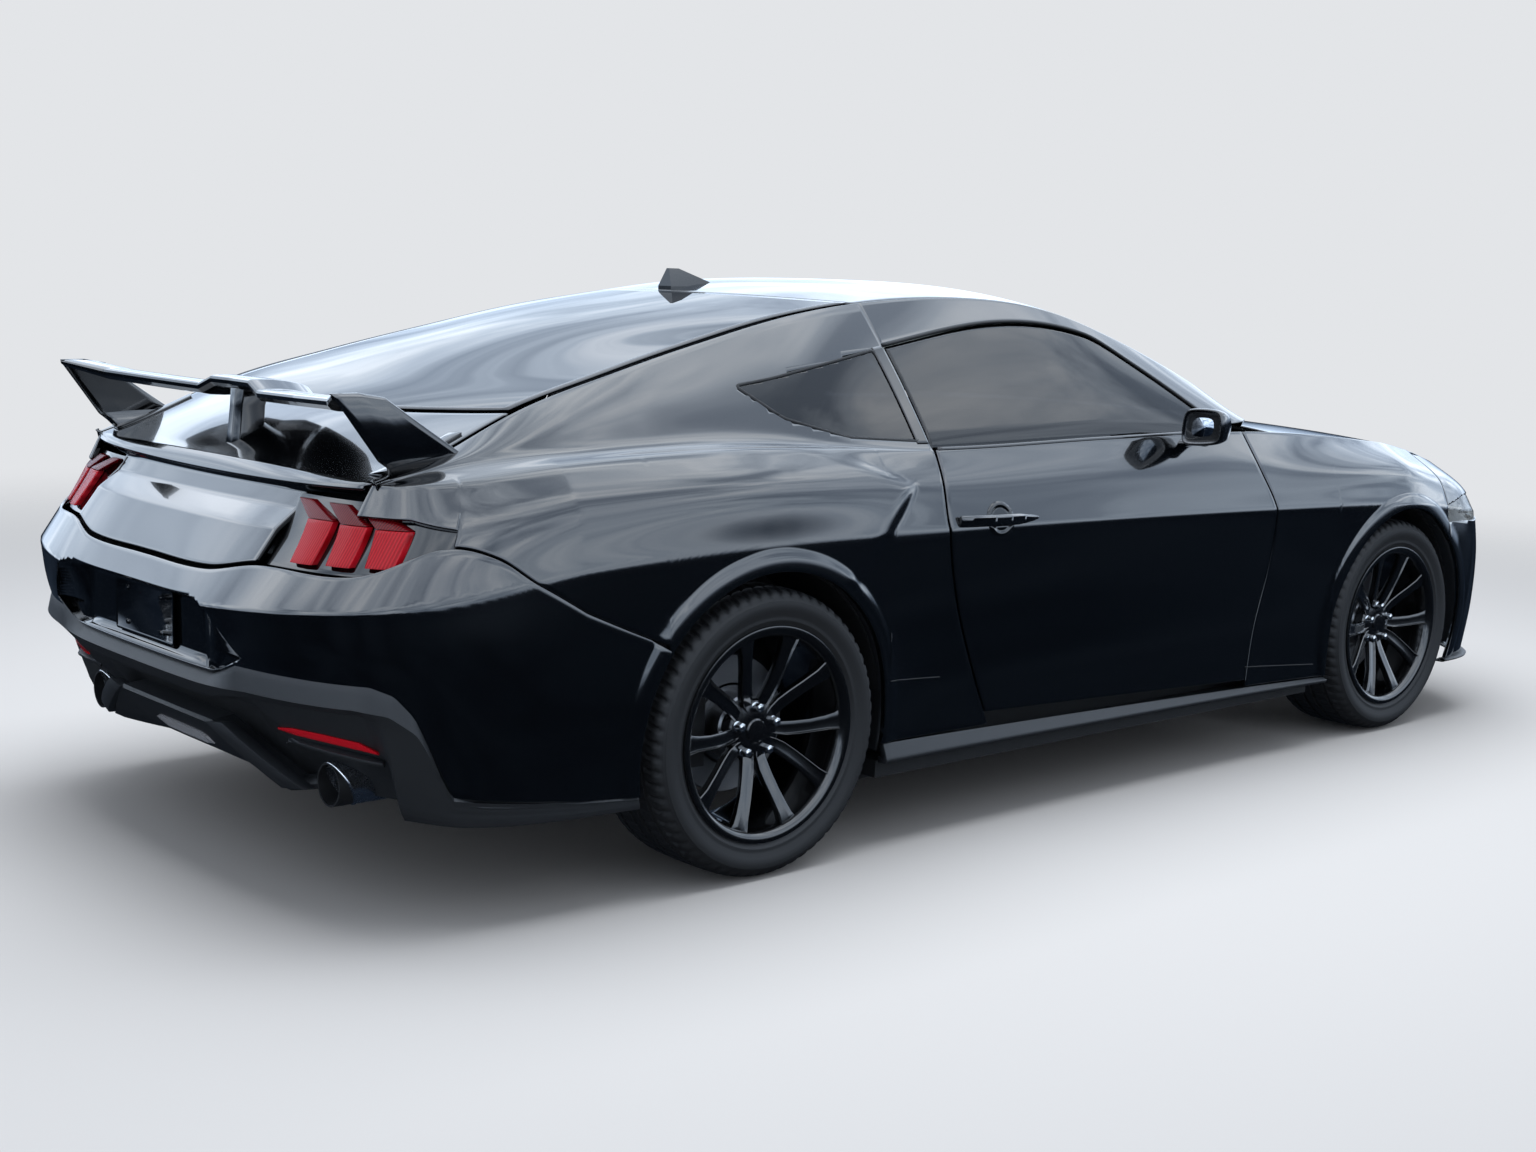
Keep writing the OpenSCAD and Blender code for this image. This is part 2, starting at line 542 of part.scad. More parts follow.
function hood_point(s, t) = let (u = lerp(door_front + 92, nose_corner + 0.4 * nose_run, s), e = side_point(u, 5),
        x = lerp(door_front + 235, nose - 76, s))
    let (p = crowned([x, 0, height_at(hood_line, x)], e - [0, shut_gap + 5, 0], abs(t))) [p[0], t < 0 ? -p[1] : p[1], p[2]];
module hood() color("#0b0d12") {
    g = [for (t = steps(-1, 1, 12)) [for (s = steps(0, 1, 10)) hood_point(s, t)]];
    panel(g, hood_thickness);
    both_sides() {
        rod_y(hood_axis_x, 694, 722, hood_axis_z, 7);
        block([hood_axis_x - 10, 684, hood_axis_z - 10], [hood_axis_x + 70, 696, hood_axis_z + 14]);
    }
}

lid_hollow = 26;
lid_share = 0.972;
function lid_width(v) = v < 4.8 ? lamp_inner - 7 : 678;
module deck_lid() color("#0b0d12") {
    ts = steps(-1, 1, 12);
    g = [for (t = ts) let (u = tail_place(abs(t) * (lamp_inner - 7) / side_width(3)),
            low = step_of(u, height_at(tail_seam, u) + 9)) concat(
        [for (v = [low, lerp(low, 4, 0.5), 4, 4.35, 4.77, 4.9, 4.98])
            tail_point(t * lid_width(v), v) + [v > 4 && v < 4.88 ? lid_hollow : 0, 0, 0]],
        [for (x = steps(deck_rear + 6, deck_front - 6, 6)) top_point(x, t * lid_share)])];
    difference() {
        panel(g, 18);
        // Notches for the hinge ears
        both_sides() block([deck_axis_x - 16, 626, deck_axis_z - 60], [deck_front + 20, 648, deck_axis_z + 50]);
    }
    both_sides() {
        rod_y(deck_axis_x, 627, 650, deck_axis_z, 4);
        rod_y(deck_axis_x, 648, 657, deck_axis_z, 8);
    }
}

// Blade on a middle post, with a raised middle; its ends rise a little, then drop to feet on the lid
wing_stations = [[0, -875, 6], [95, -880, 6], [150, -886, -14], [360, -908, -10], [565, -938, -4], [690, -998, 16]];
module rear_wing() color("#0b0d12") {
    foot = top_point(axle_r - 790, 0.97)[2];
    high = foot + wing_rise;
    rows = [for (w = wing_stations) let (y = w[0] * wing_half_span / 712)
        [for (s = steps(0, 1, 4)) [axle_r + w[1] + s * lerp(160, 120, w[0] / 690), y, high + w[2] + 10 * sin(180 * s) - 6 * s]]];
    full = concat([for (i = [5:-1:1]) flip(rows[i])], rows);
    shell(full, moved(full, [0, 0, -24]));
    difference() {
        union() {
            both_sides() hull() {
                translate([axle_r - 996, wing_half_span - 26, high + 8]) cube([118, 8, 6]);
                translate([axle_r - 888, wing_half_span - 45, foot - 60]) cube([190, 6, 60]);
            }
            side_profile(-22, 22, [[deck_rear + 20, foot - 60], [axle_r - 800, foot - 60], [axle_r - 780, high - 12],
                [axle_r - 868, high - 12]]);
        }
        g = [for (t = steps(-1, 1, 12)) [for (x = steps(deck_rear + 6, deck_front - 6, 6))
            top_point(x, t * (lid_share + 0.014))]];
        shell(moved(g, [0, 0, seat]), moved(g, [0, 0, -160]));
    }
}

// Door: outer skin and inner face, tapered towards the inside, with the hinge pockets
door_cols = 12;
function door_low(a) = lerp(0.47, 0.26, a);
function door_spot(a, b, in) = let (v = lerp(door_low(a) + (in > 0 ? 0.07 : 0), 5, b))
    side_point(lerp(rear_shut(v) + edge + in, front_shut(v) - edge - in, a), v);
function door_grid(in) = [for (a = steps(0, 1, door_cols)) [for (b = steps(0, 1, 9)) door_spot(a, b, in)]];
module door(s) color("#0b0d12") on_side(s) {
    difference() {
        shell(door_grid(0), moved(door_grid(14), [0, -door_thickness, 0]));
        for (z = door_hinge_z)
            block([door_axis_x - 24, 700, z - 24], [door_front + 40, door_axis_y + 11, z + 24]);
    }
    for (z = door_hinge_z) rod_z(door_axis_x, door_axis_y, z - 30, z + 30, 5);
}
module door_glass(s) color("#15191e", 0.7) on_side(s) {
    us = [for (i = [0:door_cols - 1]) door_spot(i / door_cols, 1, 0)[0]];
    g = [for (u = us) let (p = side_point(u, 5), top = window_share(u, -5.5))
        concat([p + [0, -16, seat]], [for (t = steps(min(1.15, top - 0.01), top, 3)) upper_point(u, t) + [0, -5, 0]])];
    shell(g, moved(g, [0, -glass, 0]));
}
mirror_x = bay(0.736);
module side_mirror(s) color("#0b0d12") on_side(s) {
    p = side_point(mirror_x, step_of(mirror_x, 968));
    difference() {
        hull() {
            translate([mirror_x - 50, 905, 985]) scale([0.5, 1, 1]) sphere(28, $fn = 16);
            translate([mirror_x + 10, 900, 985]) sphere(20, $fn = 16);
            translate([mirror_x - 50, 1005, 1000]) sphere(26, $fn = 16);
            translate([mirror_x + 8, 985, 1008]) sphere(28, $fn = 16);
            translate([mirror_x - 50, 915, 1046]) sphere(24, $fn = 16);
            translate([mirror_x - 50, 1005, 1050]) sphere(20, $fn = 16);
        }
        block([mirror_x - 90, 880, 950], [mirror_x - 58, 1050, 1090]);
    }
    difference() {
        rod_y(mirror_x, p[1] - 10, 915, 968, 11);
        shell(moved(door_grid(0), [0, seat, 0]), moved(door_grid(0), [0, -60, 0]));
    }
}

module quarter_windows() color("#15191e", 0.7) both_sides() {
    g = [for (u = steps(axle_r + 40, b_line - 20, 6)) [for (t = steps(0.96, 2, 4)) upper_point(u, t)]];
    intersection() {
        panel(inset(g, 1), glass);
        side_profile(500, 1000, [for (p = quarter_opening()) let (c = [axle_r + 380, raised(1110)]) c + (p - c) * 0.994]);
    }
}

// Three bent bars in a dark housing on each side
function lamp_at(y, z, d) = let (u = tail_place(min(y / side_width(3.8), 0.999)), p = side_point(u, step_of(u, z)))
    [p[0] + d, p[1], p[2]];
lamp_bend = 850;
module tail_lamps() color("#7a1220") {
    g = [for (y = steps(lamp_inner + 4, 838, 6)) let (cut = max(0, y - 775))
        [for (z = steps(lamp_low + 4 + cut, lamp_high - 4 - cut * 0.5, 3)) lamp_at(y, z, 26)]];
    both_sides() {
        shell(g, moved(g, [16, 0, 0]));
        for (k = [0:2]) {
            y0 = lamp_inner + 42 + 100 * k;
            b = [for (y = [0, 66]) [for (z = [lamp_low + 12 + 6 * k, lamp_bend, lamp_high - 10 - 8 * k])
                lamp_at(y0 + y + (z < lamp_bend ? 0 : z == lamp_bend ? 34 : -6), z, 4)]];
            shell(b, moved(b, [28, 0, 0]));
        }
        block([tail + 155, lamp_inner + 50, lamp_low - 30], [tail + 175 - seat, lamp_inner + 80, lamp_low + 30]);
    }
}

module exhaust() color("silver") {
    back = axle_r - 950;
    both_sides() {
        difference() {
            rod_x(back, back + 230, exhaust_y, exhaust_z, exhaust_radius);
            rod_x(back - 10, back + 190, exhaust_y, exhaust_z, exhaust_radius - 4);
            translate([back, exhaust_y, exhaust_z + exhaust_radius]) rotate([0, 30, 0])
                block([-80, -60, -150], [0, 60, 30]);
        }
        rod_x(back + 220, back + 260, exhaust_y, exhaust_z, 30);
        // Pipe from the muffler forward beside the subframe, then into the tunnel
        rod_x(back + 430, axle_r + 200, 350, 262, 28);
        rod_x(axle_r + 280, axle_f - 500, 60, 255, 28);
    }
    block([back + 250, -640, 225], [back + 450, 640, 400 - seat]);
    block([axle_r + 190, -385, 228], [axle_r + 296, 385, 290]);
}
module roof_antenna() color("#0b0d12") {
    x = b_line - 60;
    a = top_point(x, 0);
    g = roof_grid(b_line, header, 8, 0.974);
    difference() {
        translate([a[0] + 160, 0, a[2] - 6]) hull() {
            translate([-85, -28, 0]) cube([180, 56, 30]);
            translate([-75, -5, 70]) cube([34, 10, 8]);
        }
        shell(moved(g, [0, 0, seat]), moved(g, [0, 0, -90]));
    }
}

module seats() color("#1b1d20") {
    back = axle_r + 180;
    both_sides() {
        translate([bay(0.44) + 25, 0, 0]) {
            side_profile(160, 610, [[-330, 190], [190, 190], [215, 330], [190, 370], [-120, 330], [-230, 345],
                [-420, 860], [-470, 1010], [-530, 1030], [-545, 960], [-430, 420]]);
            block([-300, 180, 168 + seat], [150, 590, 195]);
        }
        block([back + 150, 155, 168 + seat], [back + 440, 550, 405]);
    }
    side_profile(-550, 550, [[back + 16, 402], [back + 480, 402], [back + 480, 470], [back + 170, 440],
        [back + 80, 500], [back + 40, 850], [back + 4, 880]]);
}
module dashboard() color("#17181b") {
    wall = door_front + 100;
    side_profile(-735, 735, [[wall - seat, 600], [wall - seat, 900], [wall - 219, 925], [wall - 299, 880],
        [wall - 339, 800], [wall - 299, 690], [wall - 159, 610]]);
    block([max(axle_r + 700, wall - 1109), -125, 400 + seat], [wall - 259, 125, 520]);
    block([wall - 299, -125, 420], [wall - 99, 125, 700]);
    // Shroud that the steering column enters
    translate(column_point) rotate([0, 90 - column_tilt, 0]) translate([0, 0, 138 + seat]) cylinder(r = 26, h = 140, $fn = 40);
}
module steering_wheel() color("#17181b") {
    translate(column_point) rotate([0, -column_tilt, 0]) rotate([0, 90, 0]) {
        rotate_extrude($fn = 64) translate([178, 0]) circle(14, $fn = 24);
        for (a = [0, 120, 240]) rotate(a) translate([0, -16, -8]) cube([172, 32, 12]);
        translate([0, 0, -24]) cylinder(r = 62, h = 30, $fn = 48);
        cylinder(r = 20, h = 138, $fn = 32);
    }
}
column_tilt = -24;
column_point = [door_front - 359, 370, 790];

module engine_block() color("gray") {
    block([door_front + 240, -290, 300 + seat], [axle_f + 210, 290, 820]);
}

// Steering axis: through the lower ball joint, leaning inboard towards the strut's top
king_y = wheel_y_front - 91;
king_low = [axle_f, king_y, 200];
king_lean = 11.1;
module on_king() {
    translate(king_low) rotate([king_lean, 0, 0]) children();
}
module front_suspension() color("#3a3d40") {
    both_sides() {
        // Strut with its spring, up to the tower
        on_king() {
            translate([0, 0, 300 + seat]) cylinder(r = 21, h = 250, $fn = 40);
            translate([0, 0, 500]) cylinder(r = 62, h = 143, $fn = 48);
        }
        // Lower arm from the subframe to the ball joint
        difference() {
            union() {
                side_taper([axle_f, 300, 190], [axle_f, king_y, 190], 60, 24, 20);
                rod_z(axle_f, king_low[1], 180, 206, 26);
            }
            on_king() translate([0, 0, -40]) cylinder(r = 14 + pin_play, h = 70, $fn = 40);
        }
        block([axle_f - 150, 240, 180], [axle_f + 150, 320, 300]);
        block([axle_f - 60, 300, 290], [axle_f + 60, 420, 330]);
        block([axle_f - 60, 385, 320], [axle_f + 60, 435, 400 - seat]);
    }
    block([axle_f - 60, -260, 180], [axle_f + 60, 260, 220]);
}
// A flat arm along Y that narrows from half-width a to b
module side_taper(p, q, a, b, h) {
    translate([0, 0, p[2] - h / 2]) linear_extrude(h)
        polygon([[p[0] - a, p[1]], [p[0] + a, p[1]], [q[0] + b, q[1]], [q[0] - b, q[1]]]);
}
module knuckle(s) color("#4a4d50") on_side(s) {
    on_king() translate([0, 0, -18]) cylinder(r = 14, h = 318, $fn = 40);
    rod_y(axle_f, king_y - 20, wheel_y_front - 58 - seat, tyre_radius, 52);
    rod_y(axle_f, king_y + 20, wheel_y_front + 20, tyre_radius, 21.5);
    block([axle_f - 30, king_y - 45, 270], [axle_f + 30, king_y, 470]);
    // Caliper behind the disc's rear edge
    caliper(axle_f, 1, front_disc_radius, wheel_y_front - 41);
}
// Brake caliper that straddles the disc; side -1 puts it ahead of the axle
module caliper(x, side, r, y) {
    difference() {
        block([x - side * (r + 20) - (side < 0 ? 90 : 0), y - 46, tyre_radius - 85],
            [x - side * (r + 20) + (side > 0 ? 90 : 0), y + 34, tyre_radius + 85]);
        rod_y(x, y - 19, y + 19, tyre_radius, r + 8);
    }
    block([x - side * 110 - 8, y - 62, tyre_radius - 30], [x - side * 110 + 8, y - 40, tyre_radius + 30]);
    block([min(x - side * 115, x), y - 62, tyre_radius - 24], [max(x - side * 115, x), y - 50, tyre_radius + 24]);
}
module rear_suspension() color("#3a3d40") {
    both_sides() {
        rod_y(axle_r, 690, wheel_y_rear - 58 - seat, tyre_radius, 52);
        rod_y(axle_r, 700, wheel_y_rear + 20, tyre_radius, 21.5);
        rod_y(axle_r, 130, 700, tyre_radius, 18);
        block([axle_r - 40, 672, 240], [axle_r + 40, 700, 395]);
        side_taper([axle_r, 250, 210], [axle_r, 700, 210], 110, 40, 22);
        rod_z(axle_r + 60, 590, 210, 400 - seat, 34);
        caliper(axle_r, 1, rear_disc_radius, wheel_y_rear - 41);
    }
    block([axle_r - 170, -300, 200], [axle_r + 170, 300, 240]);
    block([axle_r - 130, -140, 230], [axle_r + 130, 140, 400]);
}

module tyre(x, y) color("#1a1b1d") {
    w = tyre_width / 2;
    r = tyre_radius;
    translate([x, y, r]) rotate([90, 0, 0]) rotate_extrude($fn = 72)
        polygon([[bead_radius + seat, 8 - rim_width / 2 + 6], [flange_radius + 4, 8 - rim_width / 2 + 6],
            [flange_radius + 22, 8 - w], [flange_radius + 44, -w], [r - 24, 6 - w], [r - 8, 18 - w], [r, 34 - w],
            [r, w - 34], [r - 8, w - 18], [r - 24, w - 6], [flange_radius + 44, w], [flange_radius + 22, w - 8],
            [flange_radius + 4, rim_width / 2 - 14], [bead_radius + seat, rim_width / 2 - 14],
            [bead_radius + seat, rim_width / 2 - 34], [r - 30, w - 34], [r - 30, 34 - w],
            [bead_radius + seat, 34 - rim_width / 2]]);
}
bead_radius = 241.3;
// Wheel with its spokes, lug nuts, brake disc and hub; out is 1 on the left
module wheel(x, y, out, disc) color("#0c0d10") {
    translate([x, y, tyre_radius]) rotate([out > 0 ? -90 : 90, 0, 0]) {
        h = rim_width / 2;
        // Rim: barrel between two flanges
        rotate_extrude($fn = 72) polygon([[bead_radius, 14 - h], [flange_radius, 12 - h], [flange_radius, -h],
            [236, -h], [230, 20 - h], [222, 60 - h], [222, h - 60], [232, h - 14], [236, h], [flange_radius, h],
            [flange_radius, h - 12], [bead_radius, h - 14], [bead_radius, h - 36], [230, h - 52], [230, 52 - h],
            [bead_radius, 36 - h]]);
        // Spokes, cut to a dish
        intersection() {
            rotate_extrude($fn = 72) polygon([[20, 24], [20, 66], [72, 66], [150, 84], [231, h - 10], [231, h - 40],
                [150, 52], [72, 30], [72, 24]]);
            linear_extrude(h) for (k = [0:spoke_pairs - 1]) rotate(90 + 360 * k / spoke_pairs) {
                polygon([[0, 0], [40, -44], [62, -30], [62, 30], [40, 44]]);
                for (m = [-1, 1]) polygon([[48, m * 4], [50, m * 40], [140, m * 56], [228, m * 84], [232, m * 58],
                    [150, m * 30], [96, m * 14]]);
            }
        }
        difference() {
            translate([0, 0, -58]) cylinder(r = 66, h = 116, $fn = 48);
            translate([0, 0, -70]) cylinder(r = 21.5 + pin_play, h = 98, $fn = 40);
        }
        translate([0, 0, 56]) cylinder(r = 30, h = 14, $fn = 48);
        for (k = [0:4]) rotate(18 + 72 * k) translate([lug_circle_radius, 0, 50]) cylinder(r = 11, h = 24, $fn = 6);
        difference() {
            translate([0, 0, -57]) cylinder(r = disc, h = 30, $fn = 64);
            translate([0, 0, -70]) cylinder(r = 60, h = 60, $fn = 48);
        }
    }
}

floor_tub();
fenders();
quarter_panels();
roof_rails();
roof();
front_bumper();
rear_bumper();
rear_valance();
side_skirts();
hood();
deck_lid();
rear_wing();
door(1);  // door_left
door(-1);  // door_right
door_glass(1);  // door_glass_left
door_glass(-1);  // door_glass_right
side_mirror(1);  // mirror_left
side_mirror(-1);  // mirror_right
windscreen();
rear_window();
quarter_windows();
tail_lamps();
headlamps();
grille();
exhaust();
roof_antenna();
seats();
dashboard();
steering_wheel();
engine_block();
front_suspension();
rear_suspension();
knuckle(1);  // knuckle_left
knuckle(-1);  // knuckle_right
tyre(axle_f, wheel_y_front);  // tyre_front_left
tyre(axle_f, -wheel_y_front);  // tyre_front_right
tyre(axle_r, wheel_y_rear);  // tyre_rear_left
tyre(axle_r, -wheel_y_rear);  // tyre_rear_right
wheel(axle_f, wheel_y_front, 1, front_disc_radius);  // wheel_front_left
wheel(axle_f, -wheel_y_front, -1, front_disc_radius);  // wheel_front_right
wheel(axle_r, wheel_y_rear, 1, rear_disc_radius);  // wheel_rear_left
wheel(axle_r, -wheel_y_rear, -1, rear_disc_radius);  // wheel_rear_right
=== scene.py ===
import functools
import math

import bmesh
import bpy
from mathutils import Matrix, Vector


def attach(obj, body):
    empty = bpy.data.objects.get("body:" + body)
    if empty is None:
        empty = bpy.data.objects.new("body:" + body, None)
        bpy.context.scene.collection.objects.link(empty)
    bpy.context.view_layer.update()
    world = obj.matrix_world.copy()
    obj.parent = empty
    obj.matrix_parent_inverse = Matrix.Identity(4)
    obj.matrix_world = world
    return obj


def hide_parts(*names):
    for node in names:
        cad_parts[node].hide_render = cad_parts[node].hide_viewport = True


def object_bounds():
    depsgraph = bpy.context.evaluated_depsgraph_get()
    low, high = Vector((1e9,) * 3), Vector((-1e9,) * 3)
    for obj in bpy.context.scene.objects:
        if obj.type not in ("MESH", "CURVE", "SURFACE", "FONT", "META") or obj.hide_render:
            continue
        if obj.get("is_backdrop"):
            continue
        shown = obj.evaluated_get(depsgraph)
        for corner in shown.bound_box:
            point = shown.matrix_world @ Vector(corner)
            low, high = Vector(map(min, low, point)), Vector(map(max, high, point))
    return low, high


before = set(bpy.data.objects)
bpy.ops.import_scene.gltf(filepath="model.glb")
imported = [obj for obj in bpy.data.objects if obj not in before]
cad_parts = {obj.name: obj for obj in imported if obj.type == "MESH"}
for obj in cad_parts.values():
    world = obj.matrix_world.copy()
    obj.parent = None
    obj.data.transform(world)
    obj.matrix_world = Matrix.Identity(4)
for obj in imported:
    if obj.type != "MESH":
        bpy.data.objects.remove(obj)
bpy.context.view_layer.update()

# Camera: a hand-held shot from behind the right rear corner, about 1.4 m above the road,
# looking a little down. Its place and turn were solved from the wheels and the body's edges.
camera_place = Vector((-4.21916, -4.26677, 1.38805))
camera_yaw, camera_pitch, camera_roll = 0.84297, -0.14913, 0.03132
focal_pixels, photo_width = 1970.389, 1536
ahead = Vector((math.cos(camera_yaw) * math.cos(camera_pitch),
                math.sin(camera_yaw) * math.cos(camera_pitch), math.sin(camera_pitch)))
level = Vector((math.sin(camera_yaw), -math.cos(camera_yaw), 0))
above = level.cross(ahead)
right = level * math.cos(camera_roll) + above * math.sin(camera_roll)
upright = above * math.cos(camera_roll) - level * math.sin(camera_roll)
camera = bpy.data.objects.new("camera", bpy.data.cameras.new("camera"))
camera.data.sensor_width = 36
camera.data.lens = focal_pixels / photo_width * 36
camera.matrix_world = Matrix((right, upright, -ahead)).transposed().to_4x4()
camera.location = camera_place
bpy.context.scene.collection.objects.link(camera)
bpy.context.scene.camera = camera


# Studio: a plain pale floor that fades into a pale surround, one large soft lamp overhead.
# Mirrors in the paint see an overcast sky over dark ground, as the real car's paint did.
def linear(code):
    """A colour written as #rrggbb in sRGB, as the renderer's linear values."""
    parts = [int(code[i:i + 2], 16) / 255 for i in (1, 3, 5)]
    return tuple(p / 12.92 if p <= 0.04045 else ((p + 0.055) / 1.055) ** 2.4 for p in parts) + (1,)


def add(tree, kind, settings=None, values=None, links=None):
    """Adds a node with its own settings, its plain input values and its links from other nodes."""
    made = tree.nodes.new(kind)
    for key, value in (settings or {}).items():
        setattr(made, key, value)
    for key, value in (values or {}).items():
        made.inputs[key].default_value = value
    for key, (source, socket) in (links or {}).items():
        tree.links.new(source.outputs[socket], made.inputs[key])
    return made


def ramp(tree, source, socket, stops):
    """A colour ramp fed by one socket, with stops as (place, colour)."""
    made = add(tree, "ShaderNodeValToRGB", links={"Fac": (source, socket)})
    elements = made.color_ramp.elements
    while len(elements) < len(stops):
        elements.new(0.5)
    for element, (place, shade) in zip(elements, stops):
        element.position = place
        element.color = linear(shade)
    return made


world = bpy.data.worlds.new("studio")
bpy.context.scene.world = world
world.use_nodes = True
sky = world.node_tree
sky.nodes.clear()
facing = add(sky, "ShaderNodeTexCoord")
height = add(sky, "ShaderNodeSeparateXYZ", links={"Vector": (facing, "Generated")})
streaks = add(sky, "ShaderNodeMapping", values={"Scale": (1.0, 2.2, 5.0), "Rotation": (0.0, 0.1, 0.7)},
              links={"Vector": (facing, "Generated")})
clouds = add(sky, "ShaderNodeTexNoise", values={"Scale": 1.7, "Detail": 5.0, "Roughness": 0.55, "Distortion": 0.6},
             links={"Vector": (streaks, "Vector")})
cover = ramp(sky, clouds, "Fac", [(0.34, "#8f98a4"), (0.5, "#c9d0d8"), (0.66, "#ffffff")])
shade = ramp(sky, height, "Z", [(0.0, "#0b0f15"), (0.49, "#10151c"), (0.502, "#59626e"), (0.53, "#a9b3bf"),
                                (0.6, "#c3cbd4"), (0.72, "#c6cdd6"), (1.0, "#e4e8ed")])
lift = add(sky, "ShaderNodeMapRange", values={"From Min": -1.0, "From Max": 1.0}, links={"Value": (height, "Z")})
sky.links.new(lift.outputs["Result"], shade.inputs["Fac"])
overcast = add(sky, "ShaderNodeMix", {"data_type": "RGBA", "blend_type": "MULTIPLY"}, {"Factor": 1.0})
sky.links.new(shade.outputs["Color"], overcast.inputs["A"])
sky.links.new(cover.outputs["Color"], overcast.inputs["B"])
mirrored_sky = add(sky, "ShaderNodeBackground", values={"Strength": 4.2}, links={"Color": (overcast, "Result")})
surround = add(sky, "ShaderNodeBackground", values={"Color": linear("#e3e5e8"), "Strength": 1.0})
fill = add(sky, "ShaderNodeBackground", values={"Color": linear("#f2f5fa"), "Strength": 0.55})
path = add(sky, "ShaderNodeLightPath")
seen = add(sky, "ShaderNodeMath", {"operation": "MAXIMUM"})
sky.links.new(path.outputs["Is Camera Ray"], seen.inputs[0])
sky.links.new(path.outputs["Is Transmission Ray"], seen.inputs[1])
glossy_or_fill = add(sky, "ShaderNodeMixShader", links={0: (path, "Is Glossy Ray"), 1: (fill, 0), 2: (mirrored_sky, 0)})
light_out = add(sky, "ShaderNodeMixShader", links={0: (seen, 0), 1: (glossy_or_fill, 0), 2: (surround, 0)})
add(sky, "ShaderNodeOutputWorld", links={"Surface": (light_out, 0)})

floor_mesh = bpy.data.meshes.new("studio_floor")
floor_bm = bmesh.new()
bmesh.ops.create_circle(floor_bm, cap_ends=True, segments=96, radius=30)
floor_bm.to_mesh(floor_mesh)
floor_bm.free()
floor = bpy.data.objects.new("studio_floor", floor_mesh)
bpy.context.scene.collection.objects.link(floor)
floor.location.z = -0.0005
floor.visible_glossy = False
floor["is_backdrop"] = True
floor_paint = bpy.data.materials.new("pale studio floor")
floor_paint.use_nodes = True
tree = floor_paint.node_tree
tree.nodes.clear()
spot_on_floor = add(tree, "ShaderNodeTexCoord")
distance = add(tree, "ShaderNodeVectorMath", {"operation": "LENGTH"}, links={0: (spot_on_floor, "Object")})
fade = add(tree, "ShaderNodeMapRange", {"interpolation_type": "SMOOTHSTEP"}, {"From Min": 3.6, "From Max": 9.0},
           {"Value": (distance, "Value")})
matt = add(tree, "ShaderNodeBsdfDiffuse", values={"Color": linear("#d9dbde")})
clear = add(tree, "ShaderNodeBsdfTransparent")
blend = add(tree, "ShaderNodeMixShader", links={0: (fade, 0), 1: (matt, 0), 2: (clear, 0)})
add(tree, "ShaderNodeOutputMaterial", links={"Surface": (blend, 0)})
floor_mesh.materials.append(floor_paint)

overhead = bpy.data.objects.new("overhead_lamp", bpy.data.lights.new("overhead_lamp", "AREA"))
overhead.data.shape = "RECTANGLE"
overhead.data.size, overhead.data.size_y = 7.0, 5.0
overhead.data.energy = 330
overhead.location = (0, 0, 5.2)
overhead.visible_glossy = False
bpy.context.scene.collection.objects.link(overhead)

bpy.context.scene.view_settings.view_transform = "Standard"


# Floor tub, engine block and running gear: pressed and welded steel under a sprayed black coating,
# cast aluminium hubs and block. They are the frame's own solids with their finishes.
def finish(name, colour, roughness, metallic=0.0, **inputs):
    """A principled material, its name being the real one's, with its tree for patterns."""
    made = bpy.data.materials.new(name)
    made.use_nodes = True
    shader = made.node_tree.nodes["Principled BSDF"]
    shader.inputs["Base Color"].default_value = linear(colour)
    shader.inputs["Roughness"].default_value = roughness
    shader.inputs["Metallic"].default_value = metallic
    for key, value in inputs.items():
        shader.inputs[key.replace("_", " ")].default_value = value
    return made, made.node_tree, shader


def grain(tree, shader, scale, depth, spread=None, detail=3.0, kind="NOISE"):
    """Surface grain: a bump of the given depth in metres, and roughness that varies between two values."""
    place = add(tree, "ShaderNodeTexCoord")
    if kind == "NOISE":
        pattern = add(tree, "ShaderNodeTexNoise", values={"Scale": scale, "Detail": detail},
                      links={"Vector": (place, "Object")})
        socket = "Fac"
    else:
        pattern = add(tree, "ShaderNodeTexVoronoi", values={"Scale": scale}, links={"Vector": (place, "Object")})
        socket = "Distance"
    bump = add(tree, "ShaderNodeBump", values={"Distance": depth, "Strength": 1.0}, links={"Height": (pattern, socket)})
    tree.links.new(bump.outputs["Normal"], shader.inputs["Normal"])
    if spread:
        rough = add(tree, "ShaderNodeMapRange", values={"To Min": spread[0], "To Max": spread[1]},
                    links={"Value": (pattern, socket)})
        tree.links.new(rough.outputs["Result"], shader.inputs["Roughness"])
    return pattern


def dress(node, made):
    """Gives a solid of the frame its finish."""
    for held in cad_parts[node].material_slots:
        held.material = made


# Sprayed underbody coating: grains of about 2 mm, matt with soft highlights
coating, tree, shader = finish("sprayed underbody coating", "#15171a", 0.75)
grain(tree, shader, 500, 0.0006, (0.6, 0.85))
# E-coated steel arms and subframes: smooth satin black, a little orange peel
coated_steel, tree, shader = finish("e-coated steel", "#1d1f22", 0.45)
grain(tree, shader, 180, 0.0002, (0.38, 0.55))
# Sand-cast aluminium: grey metal with a 1.5 mm sand grain
cast_aluminium, tree, shader = finish("sand-cast aluminium", "#9b9da0", 0.5, 1.0)
grain(tree, shader, 650, 0.0003, (0.42, 0.6))
dress("floor_tub", coating)
dress("engine_block", cast_aluminium)
dress("front_suspension", coated_steel)
dress("rear_suspension", coated_steel)


